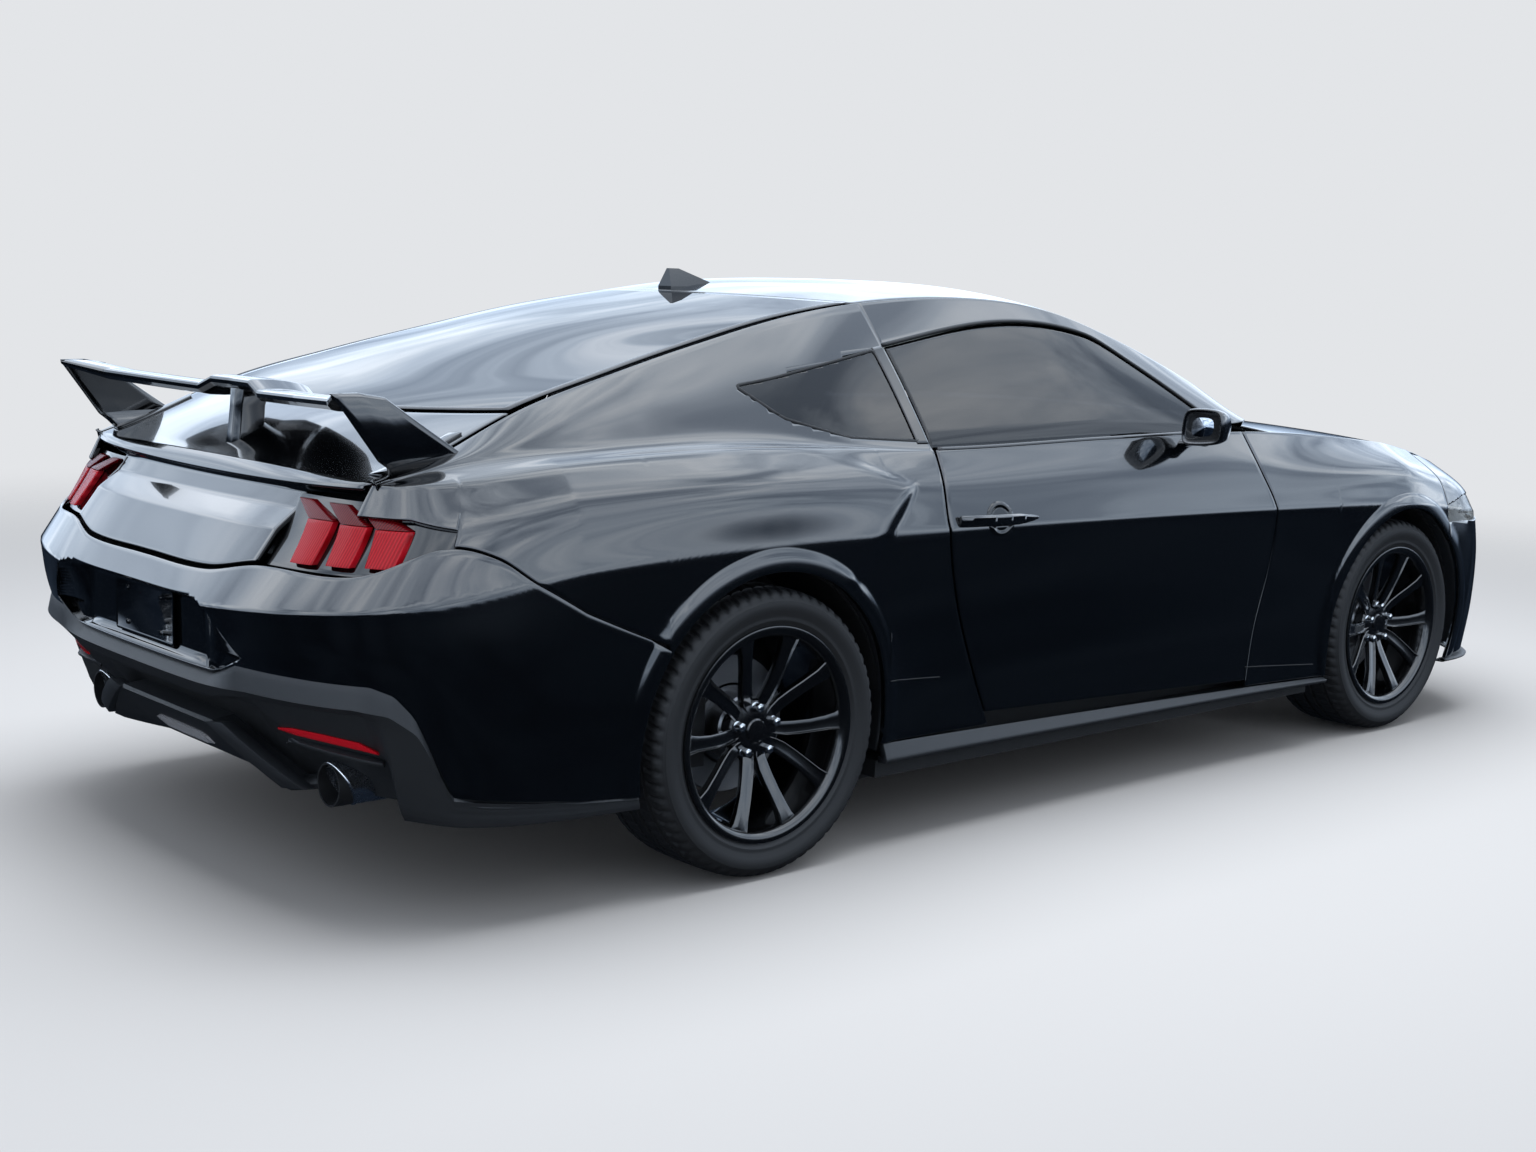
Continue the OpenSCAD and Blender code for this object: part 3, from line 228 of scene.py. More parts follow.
# Tyres: vulcanised rubber on steel belts. Four grooves run round the tread, blocks and sipes are cut
# across it, and a rib on the sidewall guards the rim.
MM = 0.001
axle_front, axle_rear = 1484, -1234
wheel_height = 343.5
wheel_places = {"front_left": (axle_front, 791), "front_right": (axle_front, -791),
                "rear_left": (axle_rear, 824), "rear_right": (axle_rear, -824)}
wheel_bodies = {"front_left": "wheel_fl", "front_right": "wheel_fr", "rear_left": "wheel_rl", "rear_right": "wheel_rr"}


def piece(name, bm, coat, body, slot, *nodes, wall=0.0, smooth=True):
    """Makes a mesh a piece of the car: its finish, its wall thickness, the body it rides on and the solids it stands for."""
    mesh = bpy.data.meshes.new(name)
    bm.to_mesh(mesh)
    bm.free()
    made = bpy.data.objects.new(name, mesh)
    bpy.context.scene.collection.objects.link(made)
    for one in coat if isinstance(coat, (list, tuple)) else [coat]:
        mesh.materials.append(one)
    if smooth:
        mesh.shade_smooth()
    if wall:
        thick = made.modifiers.new("wall", "SOLIDIFY")
        thick.thickness, thick.offset = wall, -1
    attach(made, body)
    if nodes:
        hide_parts(*nodes)
    return made


def sharpen(made, degrees=35):
    """Keeps edges sharper than the angle crisp while the rest is shaded smooth."""
    made.data.set_sharp_from_angle(angle=math.radians(degrees))
    return made


# Tread rubber: near-black, fine moulded grain of about 1 mm, a little bluish where it catches light
rubber, tree, shader = finish("vulcanised tyre rubber", "#1b1d20", 0.62)
grain(tree, shader, 900, 0.00012, (0.55, 0.72))
# Outline from the inner bead over the tread to the outer bead, as [across, radius]
half_tyre = 127.5
sidewall = [(-108, 245), (-110, 252), (-114, 259), (-117.5, 266), (-119.5, 268), (-120.5, 271), (-119.5, 275),
            (-121, 281), (-125, 292), (-127.2, 301), (-127.3, 309), (-126, 316), (-124.5, 317), (-123, 320), (-121.5, 321.5)]
shoulder = [(-119, 325), (-116.5, 329), (-113, 333), (-108, 336.4), (-102, 338.8)]
tread = [(-95, 340.4), (-88, 341.4), (-81, 342), (-76, 342.3), (-74.5, 342.3), (-66, 342.8), (-64.5, 342.8), (-55, 343),
         (-45, 343.2), (-34, 343.3), (-24.5, 343.4), (-23, 343.4), (-13.5, 343.5), (-12, 343.5), (-6, 343.5)]
half_outline = sidewall + shoulder + tread
outline = half_outline + [(0, 343.5)] + [(-y, r) for y, r in reversed(half_outline)]
groove_bands = [(-74.9, -65.6), (-23.3, -13.2), (13.2, 23.3), (65.6, 74.9)]
pitches, slices = 64, 6


def tread_depth(across, slice_at):
    """How deep the tread is cut at a place across it and along one pitch, in millimetres."""
    if any(a <= across <= b for a, b in groove_bands):
        return 7.0
    if abs(across) > 76 and slice_at in (0, 1):
        return 5.0 if abs(across) < 116 else 2.2
    if 76 < abs(across) < 100 and slice_at == 4:
        return 2.5
    if 24 < abs(across) < 65 and slice_at == 3:
        return 4.0
    return 0.0


for corner, (x, y) in wheel_places.items():
    bm = bmesh.new()
    bmesh.ops.create_grid(bm, x_segments=len(outline) - 1, y_segments=slices, size=0.5)
    for v in bm.verts:
        across, radius = outline[round((v.co.x + 0.5) * (len(outline) - 1))]
        slice_at = round((v.co.y + 0.5) * slices)
        radius -= tread_depth(across, slice_at % slices) if abs(across) < 119.5 and radius > 324 else 0
        turn = 2 * math.pi / pitches * (slice_at / slices + 0.55 * (abs(across) / half_tyre) ** 2 * (1 if across > 0 else -1))
        v.co = Vector((radius * math.sin(turn), across, radius * math.cos(turn)))
    bmesh.ops.spin(bm, geom=bm.verts[:] + bm.edges[:] + bm.faces[:], cent=(0, 0, 0), axis=(0, 1, 0), angle=2 * math.pi,
                   steps=pitches, use_duplicate=True)
    bmesh.ops.remove_doubles(bm, verts=bm.verts, dist=0.05)
    bmesh.ops.bridge_loops(bm, edges=[e for e in bm.edges if e.is_boundary])
    bmesh.ops.recalc_face_normals(bm, faces=bm.faces)
    bmesh.ops.transform(bm, matrix=Matrix.Translation((x * MM, y * MM, wheel_height * MM)) @ Matrix.Scale(MM, 4), verts=bm.verts)
    sharpen(piece(f"tyre_{corner}_tread", bm, rubber, wheel_bodies[corner], "tyre_rubber", f"tyre_{corner}"), 40)


# Wheels: cast aluminium, five pairs of spokes that spread to the rim, painted gloss black and
# lacquered. The barrel behind them is spun from the same casting.
# Gloss black lacquer over the casting: deep black with a clear coat
black_alloy, tree, shader = finish("lacquered black cast aluminium", "#08090b", 0.22, Coat_Weight=1.0, Coat_Roughness=0.04)
grain(tree, shader, 220, 0.00008)
# Chrome-plated steel: bright and a little soft from road film
chrome, tree, shader = finish("chrome-plated steel", "#d4d7da", 0.12, 1.0)
grain(tree, shader, 300, 0.00003, (0.08, 0.2))
rim_outline = [(-104, 241), (-106, 257), (-119, 257.5), (-120, 254), (-119, 240), (-112, 236), (-100, 231), (-60, 224),
               (0, 222), (52, 222), (80, 226), (100, 230), (110, 233), (116, 238), (119, 244), (120, 252), (119, 256.5),
               (116, 257.5), (107, 257), (105, 241), (98, 240), (84, 231), (66, 229), (-66, 229), (-84, 240)]
# Loops down one spoke: distance from the hub, middle of the spoke sideways, half-width, front height, depth
spoke_loops = [(40, 8, 17, 66, 40), (58, 20, 18, 69, 38), (80, 31, 18.5, 75, 36), (110, 41, 18, 84, 34),
               (150, 52, 17.5, 96, 34), (190, 61, 19, 106, 36), (216, 68, 23, 111, 38), (229, 71, 28, 113, 34)]


def loft(bm, loops):
    """Joins closed loops of points one after another, and closes both ends."""
    rings = []
    for loop in loops:
        verts = [bm.verts.new(p) for p in loop]
        rings.append([bm.edges.new((verts[i], verts[(i + 1) % len(verts)])) for i in range(len(verts))])
    for a, b in zip(rings, rings[1:]):
        bmesh.ops.bridge_loops(bm, edges=a + b)
    for ring in (rings[0], rings[-1]):
        bmesh.ops.contextual_create(bm, geom=ring)


def turned(bm, outline, steps, axis=(0, 1, 0)):
    """Spins an outline of (along the axis, radius) into a closed ring about the Y axis."""
    verts = [bm.verts.new((0, across, radius)) for across, radius in outline]
    edges = [bm.edges.new((verts[i], verts[(i + 1) % len(verts)])) for i in range(len(verts))]
    made = bmesh.ops.spin(bm, geom=verts + edges, cent=(0, 0, 0), axis=axis, angle=2 * math.pi, steps=steps, use_merge=True)
    return made


for corner, (x, y) in wheel_places.items():
    out = 1 if y > 0 else -1
    bm = bmesh.new()
    for side in (-1, 1):
        loops = []
        for far, mid, half, front, deep in spoke_loops:
            mid, inner, outer = mid * side, (mid - half) * side, (mid + half) * side
            loops.append([(inner, front - 9, far), (mid - 0.3 * half * side, front - 7, far),
                          (outer - 6 * side, front - 6.5, far), (outer - 3.4 * side, front, far), (outer, front - 3, far),
                          (outer - 1 * side, front - deep * 0.6, far), (mid, front - deep, far),
                          (inner + 2 * side, front - deep * 0.7, far)])
        loft(bm, loops)
    bmesh.ops.remove_doubles(bm, verts=bm.verts, dist=0.01)
    bmesh.ops.recalc_face_normals(bm, faces=bm.faces)
    bmesh.ops.bevel(bm, geom=[e for e in bm.edges if e.calc_face_angle(0) > 0.5], offset=1.4, segments=2, profile=0.5,
                    affect="EDGES", material=-1)
    source = bm.verts[:] + bm.edges[:] + bm.faces[:]
    bmesh.ops.spin(bm, geom=source, cent=(0, 0, 0), axis=(0, 1, 0), angle=2 * math.pi, steps=5, use_duplicate=True)
    bmesh.ops.delete(bm, geom=[v for v in source if v.is_valid and isinstance(v, bmesh.types.BMVert)], context="VERTS")
    turned(bm, rim_outline, 96)
    # Hub: a dished boss, turned round without the real one's five lobes for the nuts, and a plain cap in its middle
    turned(bm, [(26, 20), (62, 20), (66, 24), (67, 34), (67, 44), (64, 60), (62, 72), (56, 76), (30, 74)], 80)
    turned(bm, [(60, 0.01), (71, 0.01), (71.5, 14), (70.5, 26), (68, 29.5), (62, 30)], 48)
    bmesh.ops.remove_doubles(bm, verts=bm.verts, dist=0.05)
    bmesh.ops.scale(bm, vec=(1, out, -out), verts=bm.verts)
    bmesh.ops.recalc_face_normals(bm, faces=bm.faces)
    bmesh.ops.transform(bm, matrix=Matrix.Translation((x * MM, y * MM, wheel_height * MM)) @ Matrix.Scale(MM, 4), verts=bm.verts)
    sharpen(piece(f"alloy_wheel_{corner}", bm, black_alloy, wheel_bodies[corner], "gloss_black_alloy", f"wheel_{corner}"), 30)
    # Lug nuts: forged, chromed, six flats and a domed end
    bm = bmesh.new()
    for k in range(5):
        angle = math.radians(18 + 72 * k)
        place = Matrix.Translation((57.15 * math.cos(angle), 72, 57.15 * math.sin(angle))) @ Matrix.Rotation(-math.pi / 2, 4, "X")
        nut = bmesh.ops.create_cone(bm, cap_ends=True, segments=6, radius1=11, radius2=11, depth=20, matrix=place)["verts"]
        dome = Matrix.Translation((57.15 * math.cos(angle), 82, 57.15 * math.sin(angle))) @ Matrix.Rotation(-math.pi / 2, 4, "X")
        bmesh.ops.create_cone(bm, cap_ends=True, segments=18, radius1=9.2, radius2=5.5, depth=6, matrix=dome)
        bmesh.ops.create_cone(bm, cap_ends=True, segments=24, radius1=13, radius2=11.5, depth=3,
                              matrix=Matrix.Translation((0, -9, 0)) @ place)
    bmesh.ops.bevel(bm, geom=[e for e in bm.edges if e.calc_face_angle(0) > 0.6], offset=0.8, segments=2, profile=0.5,
                    affect="EDGES", material=-1)
    bmesh.ops.scale(bm, vec=(1, out, -out), verts=bm.verts)
    bmesh.ops.recalc_face_normals(bm, faces=bm.faces)
    bmesh.ops.transform(bm, matrix=Matrix.Translation((x * MM, y * MM, wheel_height * MM)) @ Matrix.Scale(MM, 4), verts=bm.verts)
    sharpen(piece(f"lug_nuts_{corner}", bm, chrome, wheel_bodies[corner], "polished_steel"), 30)


# Brakes: turned cast-iron discs that go with the wheels, and cast calipers that stay with the hubs.
# Turned cast iron: fine rings of about 1 mm from the lathe, bright; the dull brown cast at the real hat is not given
disc_iron, tree, shader = finish("turned cast iron", "#8c8d8f", 0.35, 1.0)
place = add(tree, "ShaderNodeTexCoord")
rings = add(tree, "ShaderNodeTexNoise", values={"Scale": 120.0, "Detail": 2.0}, links={"Vector": (place, "Object")})
rough = add(tree, "ShaderNodeMapRange", values={"To Min": 0.28, "To Max": 0.5}, links={"Value": (rings, "Fac")})
tree.links.new(rough.outputs["Result"], shader.inputs["Roughness"])
for corner, (x, y) in wheel_places.items():
    out = 1 if y > 0 else -1
    radius = 178 if "front" in corner else 165
    bm = bmesh.new()
    # Two friction rings with vent vanes between them, on a hat
    turned(bm, [(-40, 92), (-40, radius - 1), (-39, radius), (-33, radius), (-32, radius - 1), (-32, 92)], 96)
    turned(bm, [(-56, 92), (-56, radius - 1), (-55, radius), (-49, radius), (-48, radius - 1), (-48, 92)], 96)
    turned(bm, [(-48.5, 100), (-48.5, radius - 8), (-39.5, radius - 8), (-39.5, 100)], 64)
    turned(bm, [(-44, 64), (20, 64), (24, 68), (24, 72), (20, 78), (-32, 80), (-32, 98), (-44, 98)], 64)
    bmesh.ops.scale(bm, vec=(1, out, -out), verts=bm.verts)
    bmesh.ops.recalc_face_normals(bm, faces=bm.faces)
    bmesh.ops.transform(bm, matrix=Matrix.Translation((x * MM, y * MM, wheel_height * MM)) @ Matrix.Scale(MM, 4), verts=bm.verts)
    sharpen(piece(f"brake_disc_{corner}", bm, disc_iron, wheel_bodies[corner], "chassis_steel"), 30)
dress("knuckle_left", cast_aluminium)
dress("knuckle_right", cast_aluminium)


# Body side: every outer panel is pressed to one continuous surface. Six rails run along the side from
# the sill to the belt, with a fold at the third, and two more carry the cabin's side to the roof.
nose, tail = 2384, -2384
door_front, door_rear = 759, -641
nose_corner, tail_corner = 1829, -1771
nose_run, tail_run = 1100, 1300
nose_roundness = 2.5
tail_roundness = [3.1, 3.1, 3.1, 3.1, 3.6, 4.6]
stations = [tail_corner - tail_run, tail_corner - tail_run / 2, tail_corner, axle_rear, door_rear, (door_front + door_rear) / 2,
            door_front, axle_front, nose_corner, nose_corner + nose_run / 2, nose_corner + nose_run]
side_rails = [
    [(905, 245), (915, 235), (925, 225), (930, 215), (915, 212), (905, 205), (905, 200), (925, 195), (905, 190),
     (890, 185), (880, 185)],
    [(935, 405), (940, 405), (948, 405), (955, 400), (912, 400), (900, 400), (905, 400), (940, 395), (925, 380),
     (905, 350), (895, 340)],
    [(940, 560), (945, 570), (952, 580), (959, 600), (930, 600), (918, 600), (920, 590), (948, 585), (925, 560),
     (905, 510), (890, 490)],
    [(925, 655), (932, 690), (945, 765), (957, 785), (936, 785), (932, 775), (933, 762), (943, 745), (910, 710),
     (880, 655), (860, 630)],
    [(880, 828), (890, 842), (912, 900), (935, 920), (903, 900), (900, 890), (900, 875), (905, 850), (860, 800),
     (820, 735), (800, 715)],
    [(812, 930), (824, 944), (842, 982), (855, 1005), (862, 978), (860, 985), (850, 985), (800, 930), (740, 880),
     (690, 810), (660, 790)]]
side_rails = [[Vector(pair) for pair in rail] for rail in side_rails]
nose_reach = [-75, -35, -10, 3, -25, -80]
tail_reach = [150, 88, 25, 0, 135, 205]
crease_rail, top_rail = 3, 5


def lerp(a, b, t):
    return a + (b - a) * t


def bay(share):
    """Place along the door opening, 0 at its rear shut line and 1 at its front."""
    return lerp(door_rear, door_front, share)


sail_base = [(axle_rear - 960, 690, 926), (axle_rear - 888, 698, 942), (axle_rear - 840, 726, 958), (axle_rear - 700, 762, 985),
             (axle_rear - 500, 782, 1000), (axle_rear - 250, 792, 1008), (axle_rear, 806, 1009), (axle_rear + 300, 835, 998),
             (door_rear, 850, 983), (bay(0.5), 848, 990), (door_front - 80, 838, 990), (door_front + 60, 828, 986)]
roof_rail = [(axle_rear - 960, 692, 928), (axle_rear - 888, 697, 948), (axle_rear - 780, 698, 984), (axle_rear - 520, 676, 1092),
             (axle_rear - 260, 648, 1163), (axle_rear, 616, 1226), (axle_rear + 350, 586, 1302), (bay(0.057), 568, 1342),
             (bay(0.3), 570, 1353), (bay(0.5), 592, 1328), (bay(0.679), 630, 1256), (bay(0.893), 690, 1132),
             (door_front + 60, 742, 1012)]
centre_line = [(axle_rear - 960, 945), (axle_rear - 900, 966), (axle_rear - 780, 1024), (axle_rear - 670, 1070),
               (axle_rear - 450, 1138), (axle_rear, 1268), (axle_rear + 420, 1356), (bay(0.043), 1387), (bay(0.3), 1396),
               (bay(0.514), 1384), (bay(0.7), 1330), (bay(0.957), 1180), (door_front + 215, 1016)]
hood_line = [(door_front + 235, 1008), (axle_front - 350, 996), (axle_front - 50, 970), (axle_front + 250, 936),
             (nose - 300, 893), (nose - 130, 838), (nose - 52, 775)]


def hermite(a, b, da, db, t):
    """Cubic between a and b with the given slopes at its ends."""
    return (a * (2 * t ** 3 - 3 * t ** 2 + 1) + b * (3 * t ** 2 - 2 * t ** 3)
            + da * (t ** 3 - 2 * t ** 2 + t) + db * (t ** 3 - t ** 2))


def smooth(places, values, x, flat=False):
    """Value at x of the smooth curve through values at places; flat ends have no slope."""
    last = len(places) - 1
    i = 0
    while i < last - 1 and x >= places[i + 1]:
        i += 1
    h = places[i + 1] - places[i]

    def slope(k):
        if 0 < k < last:
            return (values[k + 1] - values[k - 1]) * (1 / (places[k + 1] - places[k - 1]))
        if flat:
            return values[0] * 0
        low = min(k, last - 1)
        return (values[low + 1] - values[low]) * (1 / (places[low + 1] - places[low]))

    return hermite(values[i], values[i + 1], slope(i) * h, slope(i + 1) * h, (x - places[i]) / h)


def rail_at(rail, x):
    places = [row[0] for row in rail]
    return Vector((x, smooth(places, [row[1] for row in rail], x), smooth(places, [row[2] for row in rail], x)))


def height_at(line, x):
    return smooth([row[0] for row in line], [row[1] for row in line], x)


def corner_shares(angle, roundness):
    """Plan-view rounding of the body's ends: outward share and sideways share."""
    angle = math.radians(angle)
    c, s = max(math.cos(angle), 0), max(math.sin(angle), 0)
    r = (c ** roundness + s ** roundness) ** (-1 / roundness)
    return r * s, r * c


@functools.lru_cache(None)
def side_column(u):
    """The six rail points of the body side at the place u along the car."""
    points = []
    for k in range(top_rail + 1):
        y, z = smooth(stations, side_rails[k], u, True)
        if u > nose_corner:
            out, across = corner_shares(90 * (u - nose_corner) / nose_run, nose_roundness)
            points.append(Vector((nose_corner + (nose + nose_reach[k] - nose_corner) * out, y * across, z)))
        elif u < tail_corner:
            out, across = corner_shares(90 * (tail_corner - u) / tail_run, tail_roundness[k])
            points.append(Vector((tail_corner + (tail + tail_reach[k] - tail_corner) * out, y * across, z)))
        else:
            points.append(Vector((u, y, z)))
    return points


def on_column(c, v):
    """Point at the height step v of a column, from 0 at the sill to 5 at the belt."""
    i = max(0, min(math.floor(v), top_rail - 1))
    da = c[i + 1] - c[i] if i in (0, crease_rail) else (c[i + 1] - c[i - 1]) / 2
    db = c[i + 1] - c[i] if i + 1 in (top_rail, crease_rail) else (c[i + 2] - c[i]) / 2
    return hermite(c[i], c[i + 1], da, db, v - i)


def side_point(u, v):
    return on_column(side_column(u), v)


@functools.lru_cache(None)
def step_of(u, z):
    """Height step at which the side reaches the height z."""
    c, a, b = side_column(u), 0.0, 5.0
    for _ in range(22):
        m = (a + b) / 2
        if on_column(c, m).z < z:
            a = m
        else:
            b = m
    return (a + b) / 2


@functools.lru_cache(None)
def upper_ends(u):
    a = on_column(side_column(u), top_rail)
    return a, rail_at(sail_base, a.x), rail_at(roof_rail, a.x)


def upper_point(u, t):
    """Point of the cabin's side, from the belt (0) over the sail's base (1) to the roof rail (2)."""
    a, b, c = upper_ends(u)
    if t <= 1:
        return lerp(a, b, t)
    mid = lerp(b, c, 0.5) + Vector((0, 14, 8))
    return hermite(b, c, (mid - b) * 2, (c - mid) * 2, t - 1)


def crowned(mid, edge, t, n=2.2):
    """Point of a crowned panel between the centreline and a side rail."""
    t, side = abs(t), (-1 if t < 0 else 1)
    return Vector((lerp(mid[0], edge[0], t ** n), edge[1] * t * side, lerp(mid[2], edge[2], t ** n)))


screen_foot, header = door_front + 50, bay(0.607)
b_line = door_rear + 2
deck_front, deck_rear = axle_rear - 539, axle_rear - 918
mid_line = [(deck_rear, axle_rear - 948), (deck_front, deck_front - 150), (b_line, b_line - 200), (bay(0.316), bay(0.316)),
            (header, bay(0.679)), (bay(0.843), bay(0.943)), (screen_foot + 10, door_front + 215)]


@functools.lru_cache(None)
def top_ends(x):
    x_mid = height_at(mid_line, x)
    return (x_mid, 0, height_at(centre_line, x_mid)), rail_at(roof_rail, x)


def top_point(x, t):
    """Point of the cabin's top: x along the roof rail, t from -1 to 1 across."""
    return crowned(*top_ends(x), t)


door_steps = [0, 1, 2, 3, 4, 5]
door_front_line, door_rear_line = [-68, -40, -5, 4, -45, -86], [225, 138, 40, -3, -2, 6]
shut_gap = 8.5
gap_edge = shut_gap / 2
arch_radius = 388
front_seam = nose_corner - 60


def front_lean(v):
    return smooth(door_steps, door_front_line, v)


def rear_lean(v):
    return smooth(door_steps, door_rear_line, v)


def tail_place(q, v=3.0):
    """The share q across the tail as a place along the side."""
    low = math.floor(min(v, 4.9))
    n = lerp(tail_roundness[low], tail_roundness[min(low + 1, 5)], v - low)
    q = min(q, 0.9999)
    return tail_corner - tail_run * math.degrees(math.atan2((1 - q ** n) ** (1 / n), q)) / 90


def nose_place(q):
    q = min(q, 0.9999)
    return nose_corner + nose_run * math.degrees(math.atan2((1 - q ** nose_roundness) ** (1 / nose_roundness), q)) / 90


@functools.lru_cache(None)
def side_width(v):
    return side_point(tail_corner, v).y


def tail_point(y, v):
    p = side_point(tail_place(min(abs(y) / side_width(v), 0.999), v), v)
    return Vector((p.x, -p.y if y < 0 else p.y, p.z))


def panel(places, steps, spot):
    """A pressed sheet: a grid with one column for each place, moved to where spot(place, share up) says."""
    bm = bmesh.new()
    columns = len(places) - 1
    bmesh.ops.create_grid(bm, x_segments=columns, y_segments=steps, size=0.5)
    for v in bm.verts:
        v.co = spot(places[round((v.co.x + 0.5) * columns)], round((v.co.y + 0.5) * steps) / steps)
    face_out(bm)
    return bm


def face_out(bm, centre=Vector((0, 0, 600))):
    """Turns the faces of an open sheet away from the middle of the car."""
    bm.normal_update()
    if sum(f.normal.dot(f.calc_center_median() - centre) * f.calc_area() for f in bm.faces) < 0:
        bmesh.ops.reverse_faces(bm, faces=bm.faces)
        bm.normal_update()


def roll_edges(bm, radius=2.5, depth=12, which=None):
    """Turns a sheet's free edges inwards as a press does: a small round, then a flange."""
    bm.normal_update()
    rim = [e for e in bm.edges if e.is_boundary and (which is None or which(e))]
    outs = {}
    for e in rim:
        face = e.link_faces[0]
        out = (e.verts[1].co - e.verts[0].co).cross(face.normal).normalized()
        if out.dot((e.verts[0].co + e.verts[1].co) / 2 - face.calc_center_median()) < 0:
            out.negate()
        for v in e.verts:
            outs.setdefault(v, []).append(out)
    frames = {}
    for v, found in outs.items():
        mean = sum(found, Vector()).normalized()
        frames[v] = (v.co.copy(), v.normal.copy(), mean / max(mean.dot(found[0]), 0.6))
    for turn, drop in ((30, 0), (60, 0), (90, 0), (90, depth)):
        grown = bmesh.ops.extrude_edge_only(bm, edges=rim)["geom"]
        fresh = {v for v in grown if isinstance(v, bmesh.types.BMVert)}
        rim = [e for e in grown if isinstance(e, bmesh.types.BMEdge) and e.verts[0] in fresh and e.verts[1] in fresh]
        carried = {}
        s, c = math.sin(math.radians(turn)) * radius, (1 - math.cos(math.radians(turn))) * radius + drop
        for v in fresh:
            base = next(e.other_vert(v) for e in v.link_edges if e.other_vert(v) in frames)
            place, normal, out = carried[v] = frames[base]
            v.co = place + out * s - normal * c
        frames = carried


def both_sides(bm):
    """Adds the same sheet on the other side of the car."""
    made = bmesh.ops.duplicate(bm, geom=bm.verts[:] + bm.edges[:] + bm.faces[:])["geom"]
    bmesh.ops.scale(bm, vec=(1, -1, 1), verts=[v for v in made if isinstance(v, bmesh.types.BMVert)])
    bmesh.ops.reverse_faces(bm, faces=[f for f in made if isinstance(f, bmesh.types.BMFace)])


def metres(bm):
    bmesh.ops.scale(bm, vec=(MM, MM, MM), verts=bm.verts)
    return bm


def spread(a, b, n):
    return [lerp(a, b, i / n) for i in range(n + 1)]


def arch_places(axle, start, end, n):
    """Places along a wheel arch, evenly round it, from one angle to another in degrees from the front."""
    return [axle + arch_radius * math.cos(math.radians(a)) for a in spread(start, end, n)]


def arch_height(axle, u):
    return wheel_height + math.sqrt(max(arch_radius ** 2 - (u - axle) ** 2, 0))


# Gloss black paint: a jet black base coat under a thick clear coat, with the faint orange peel that
# sprayed lacquer keeps, about 4 mm from hump to hump
black_paint, tree, shader = finish("clear-coated black car paint", "#05070a", 0.14, Coat_Weight=1.0, Coat_Roughness=0.012,
                                   Coat_IOR=1.65)
place = add(tree, "ShaderNodeTexCoord")
peel = add(tree, "ShaderNodeTexNoise", values={"Scale": 240.0, "Detail": 1.0}, links={"Vector": (place, "Object")})
peel_bump = add(tree, "ShaderNodeBump", values={"Distance": 0.00003, "Strength": 0.5}, links={"Height": (peel, "Fac")})
tree.links.new(peel_bump.outputs["Normal"], shader.inputs["Coat Normal"])


# Front fenders: pressed steel, bolted to the apron and the hinge post, rolled round the wheel arch
# and along every shut line. A rounded band stands out round each arch.
flare_width, flare_height = 44, 7.5


def flared(p):
    """Moves a point of the body side out where it lies in the band round a wheel arch."""
    axle = axle_front if p.x > 0 else axle_rear
    t = (arch_radius + flare_width - math.hypot(p.x - axle, p.z - wheel_height)) / flare_width
    t = max(0, min(1, t))
    return p + Vector((0, flare_height * math.sqrt(t * (2 - t)), 0))


skirt_start, skirt_end = axle_rear + arch_radius + 6, axle_front - arch_radius - 6


def skirt_top(u):
    return lerp(265, 218, (u - skirt_start) / (skirt_end - skirt_start))


fender_start = door_front + door_front_line[5] + gap_edge + 2
fender_arch = axle_front - arch_radius
fender_places = (spread(fender_start, fender_arch - 2, 34)
                 + arch_places(axle_front, 180, math.degrees(math.acos((front_seam - gap_edge - axle_front) / arch_radius)), 48))


def fender_spot(u, share):
    low = arch_height(axle_front, u) if u > fender_arch - 1 else skirt_top(u) + 6
    v = lerp(step_of(u, low), 5, share)
    lean = (front_lean(v) - door_front_line[5]) * max(0, (fender_arch - 2 - u) / (fender_arch - 2 - fender_start)) ** 1.2
    return flared(side_point(u + lean, v))


bm = panel(fender_places, 64, fender_spot)
roll_edges(bm)
both_sides(bm)
piece("fender_panels", metres(bm), black_paint, "chassis", "black_paint", "fenders", wall=0.0012)


# Quarter panels: one deep pressing a side, from the tail lamp over the rear wheel to the door and up
# the sail to the roof. The window behind the door is bonded into its opening.
tail_seam = [(tail_corner - 1300, 731), (tail_corner - 1031, 734), (tail_corner - 880, 762), (tail_corner - 640, 766),
             (tail_corner - 469, 826), (tail_corner - 300, 806), (tail_corner - 150, 745), (axle_rear - 317, 588),
             (axle_rear - 200, 560), (axle_rear + 300, 540)]
lamp_low, lamp_high, lamp_inner = 764, 880, 480
lamp_corner = next(u for u in spread(tail_corner - 600, tail_corner - 300, 600) if side_point(u, step_of(u, 846)).y > 868)
arch_end = math.degrees(math.acos(-317 / arch_radius))
quarter_places = (spread(tail_corner - 694, lamp_corner - 1, 26) + spread(lamp_corner, axle_rear - 319, 52)
                  + arch_places(axle_rear, arch_end, 0, 64) + spread(axle_rear + arch_radius + 1.5, b_line - gap_edge, 24))
side_rows, upper_rows = 46, 26


def quarter_place(u, v):
    """The panel's rear edge follows the deck lid, and its front edge leans with the door's shut line."""
    if u < tail_corner - 560:
        return lerp(tail_place(701 / side_width(v), v), tail_corner - 560, (u - tail_corner + 694) / 134)
    start = axle_rear + arch_radius + 1.5
    return u + (rear_lean(v) - door_rear_line[5]) * max(0, (u - start) / (b_line - gap_edge - start)) ** 1.3


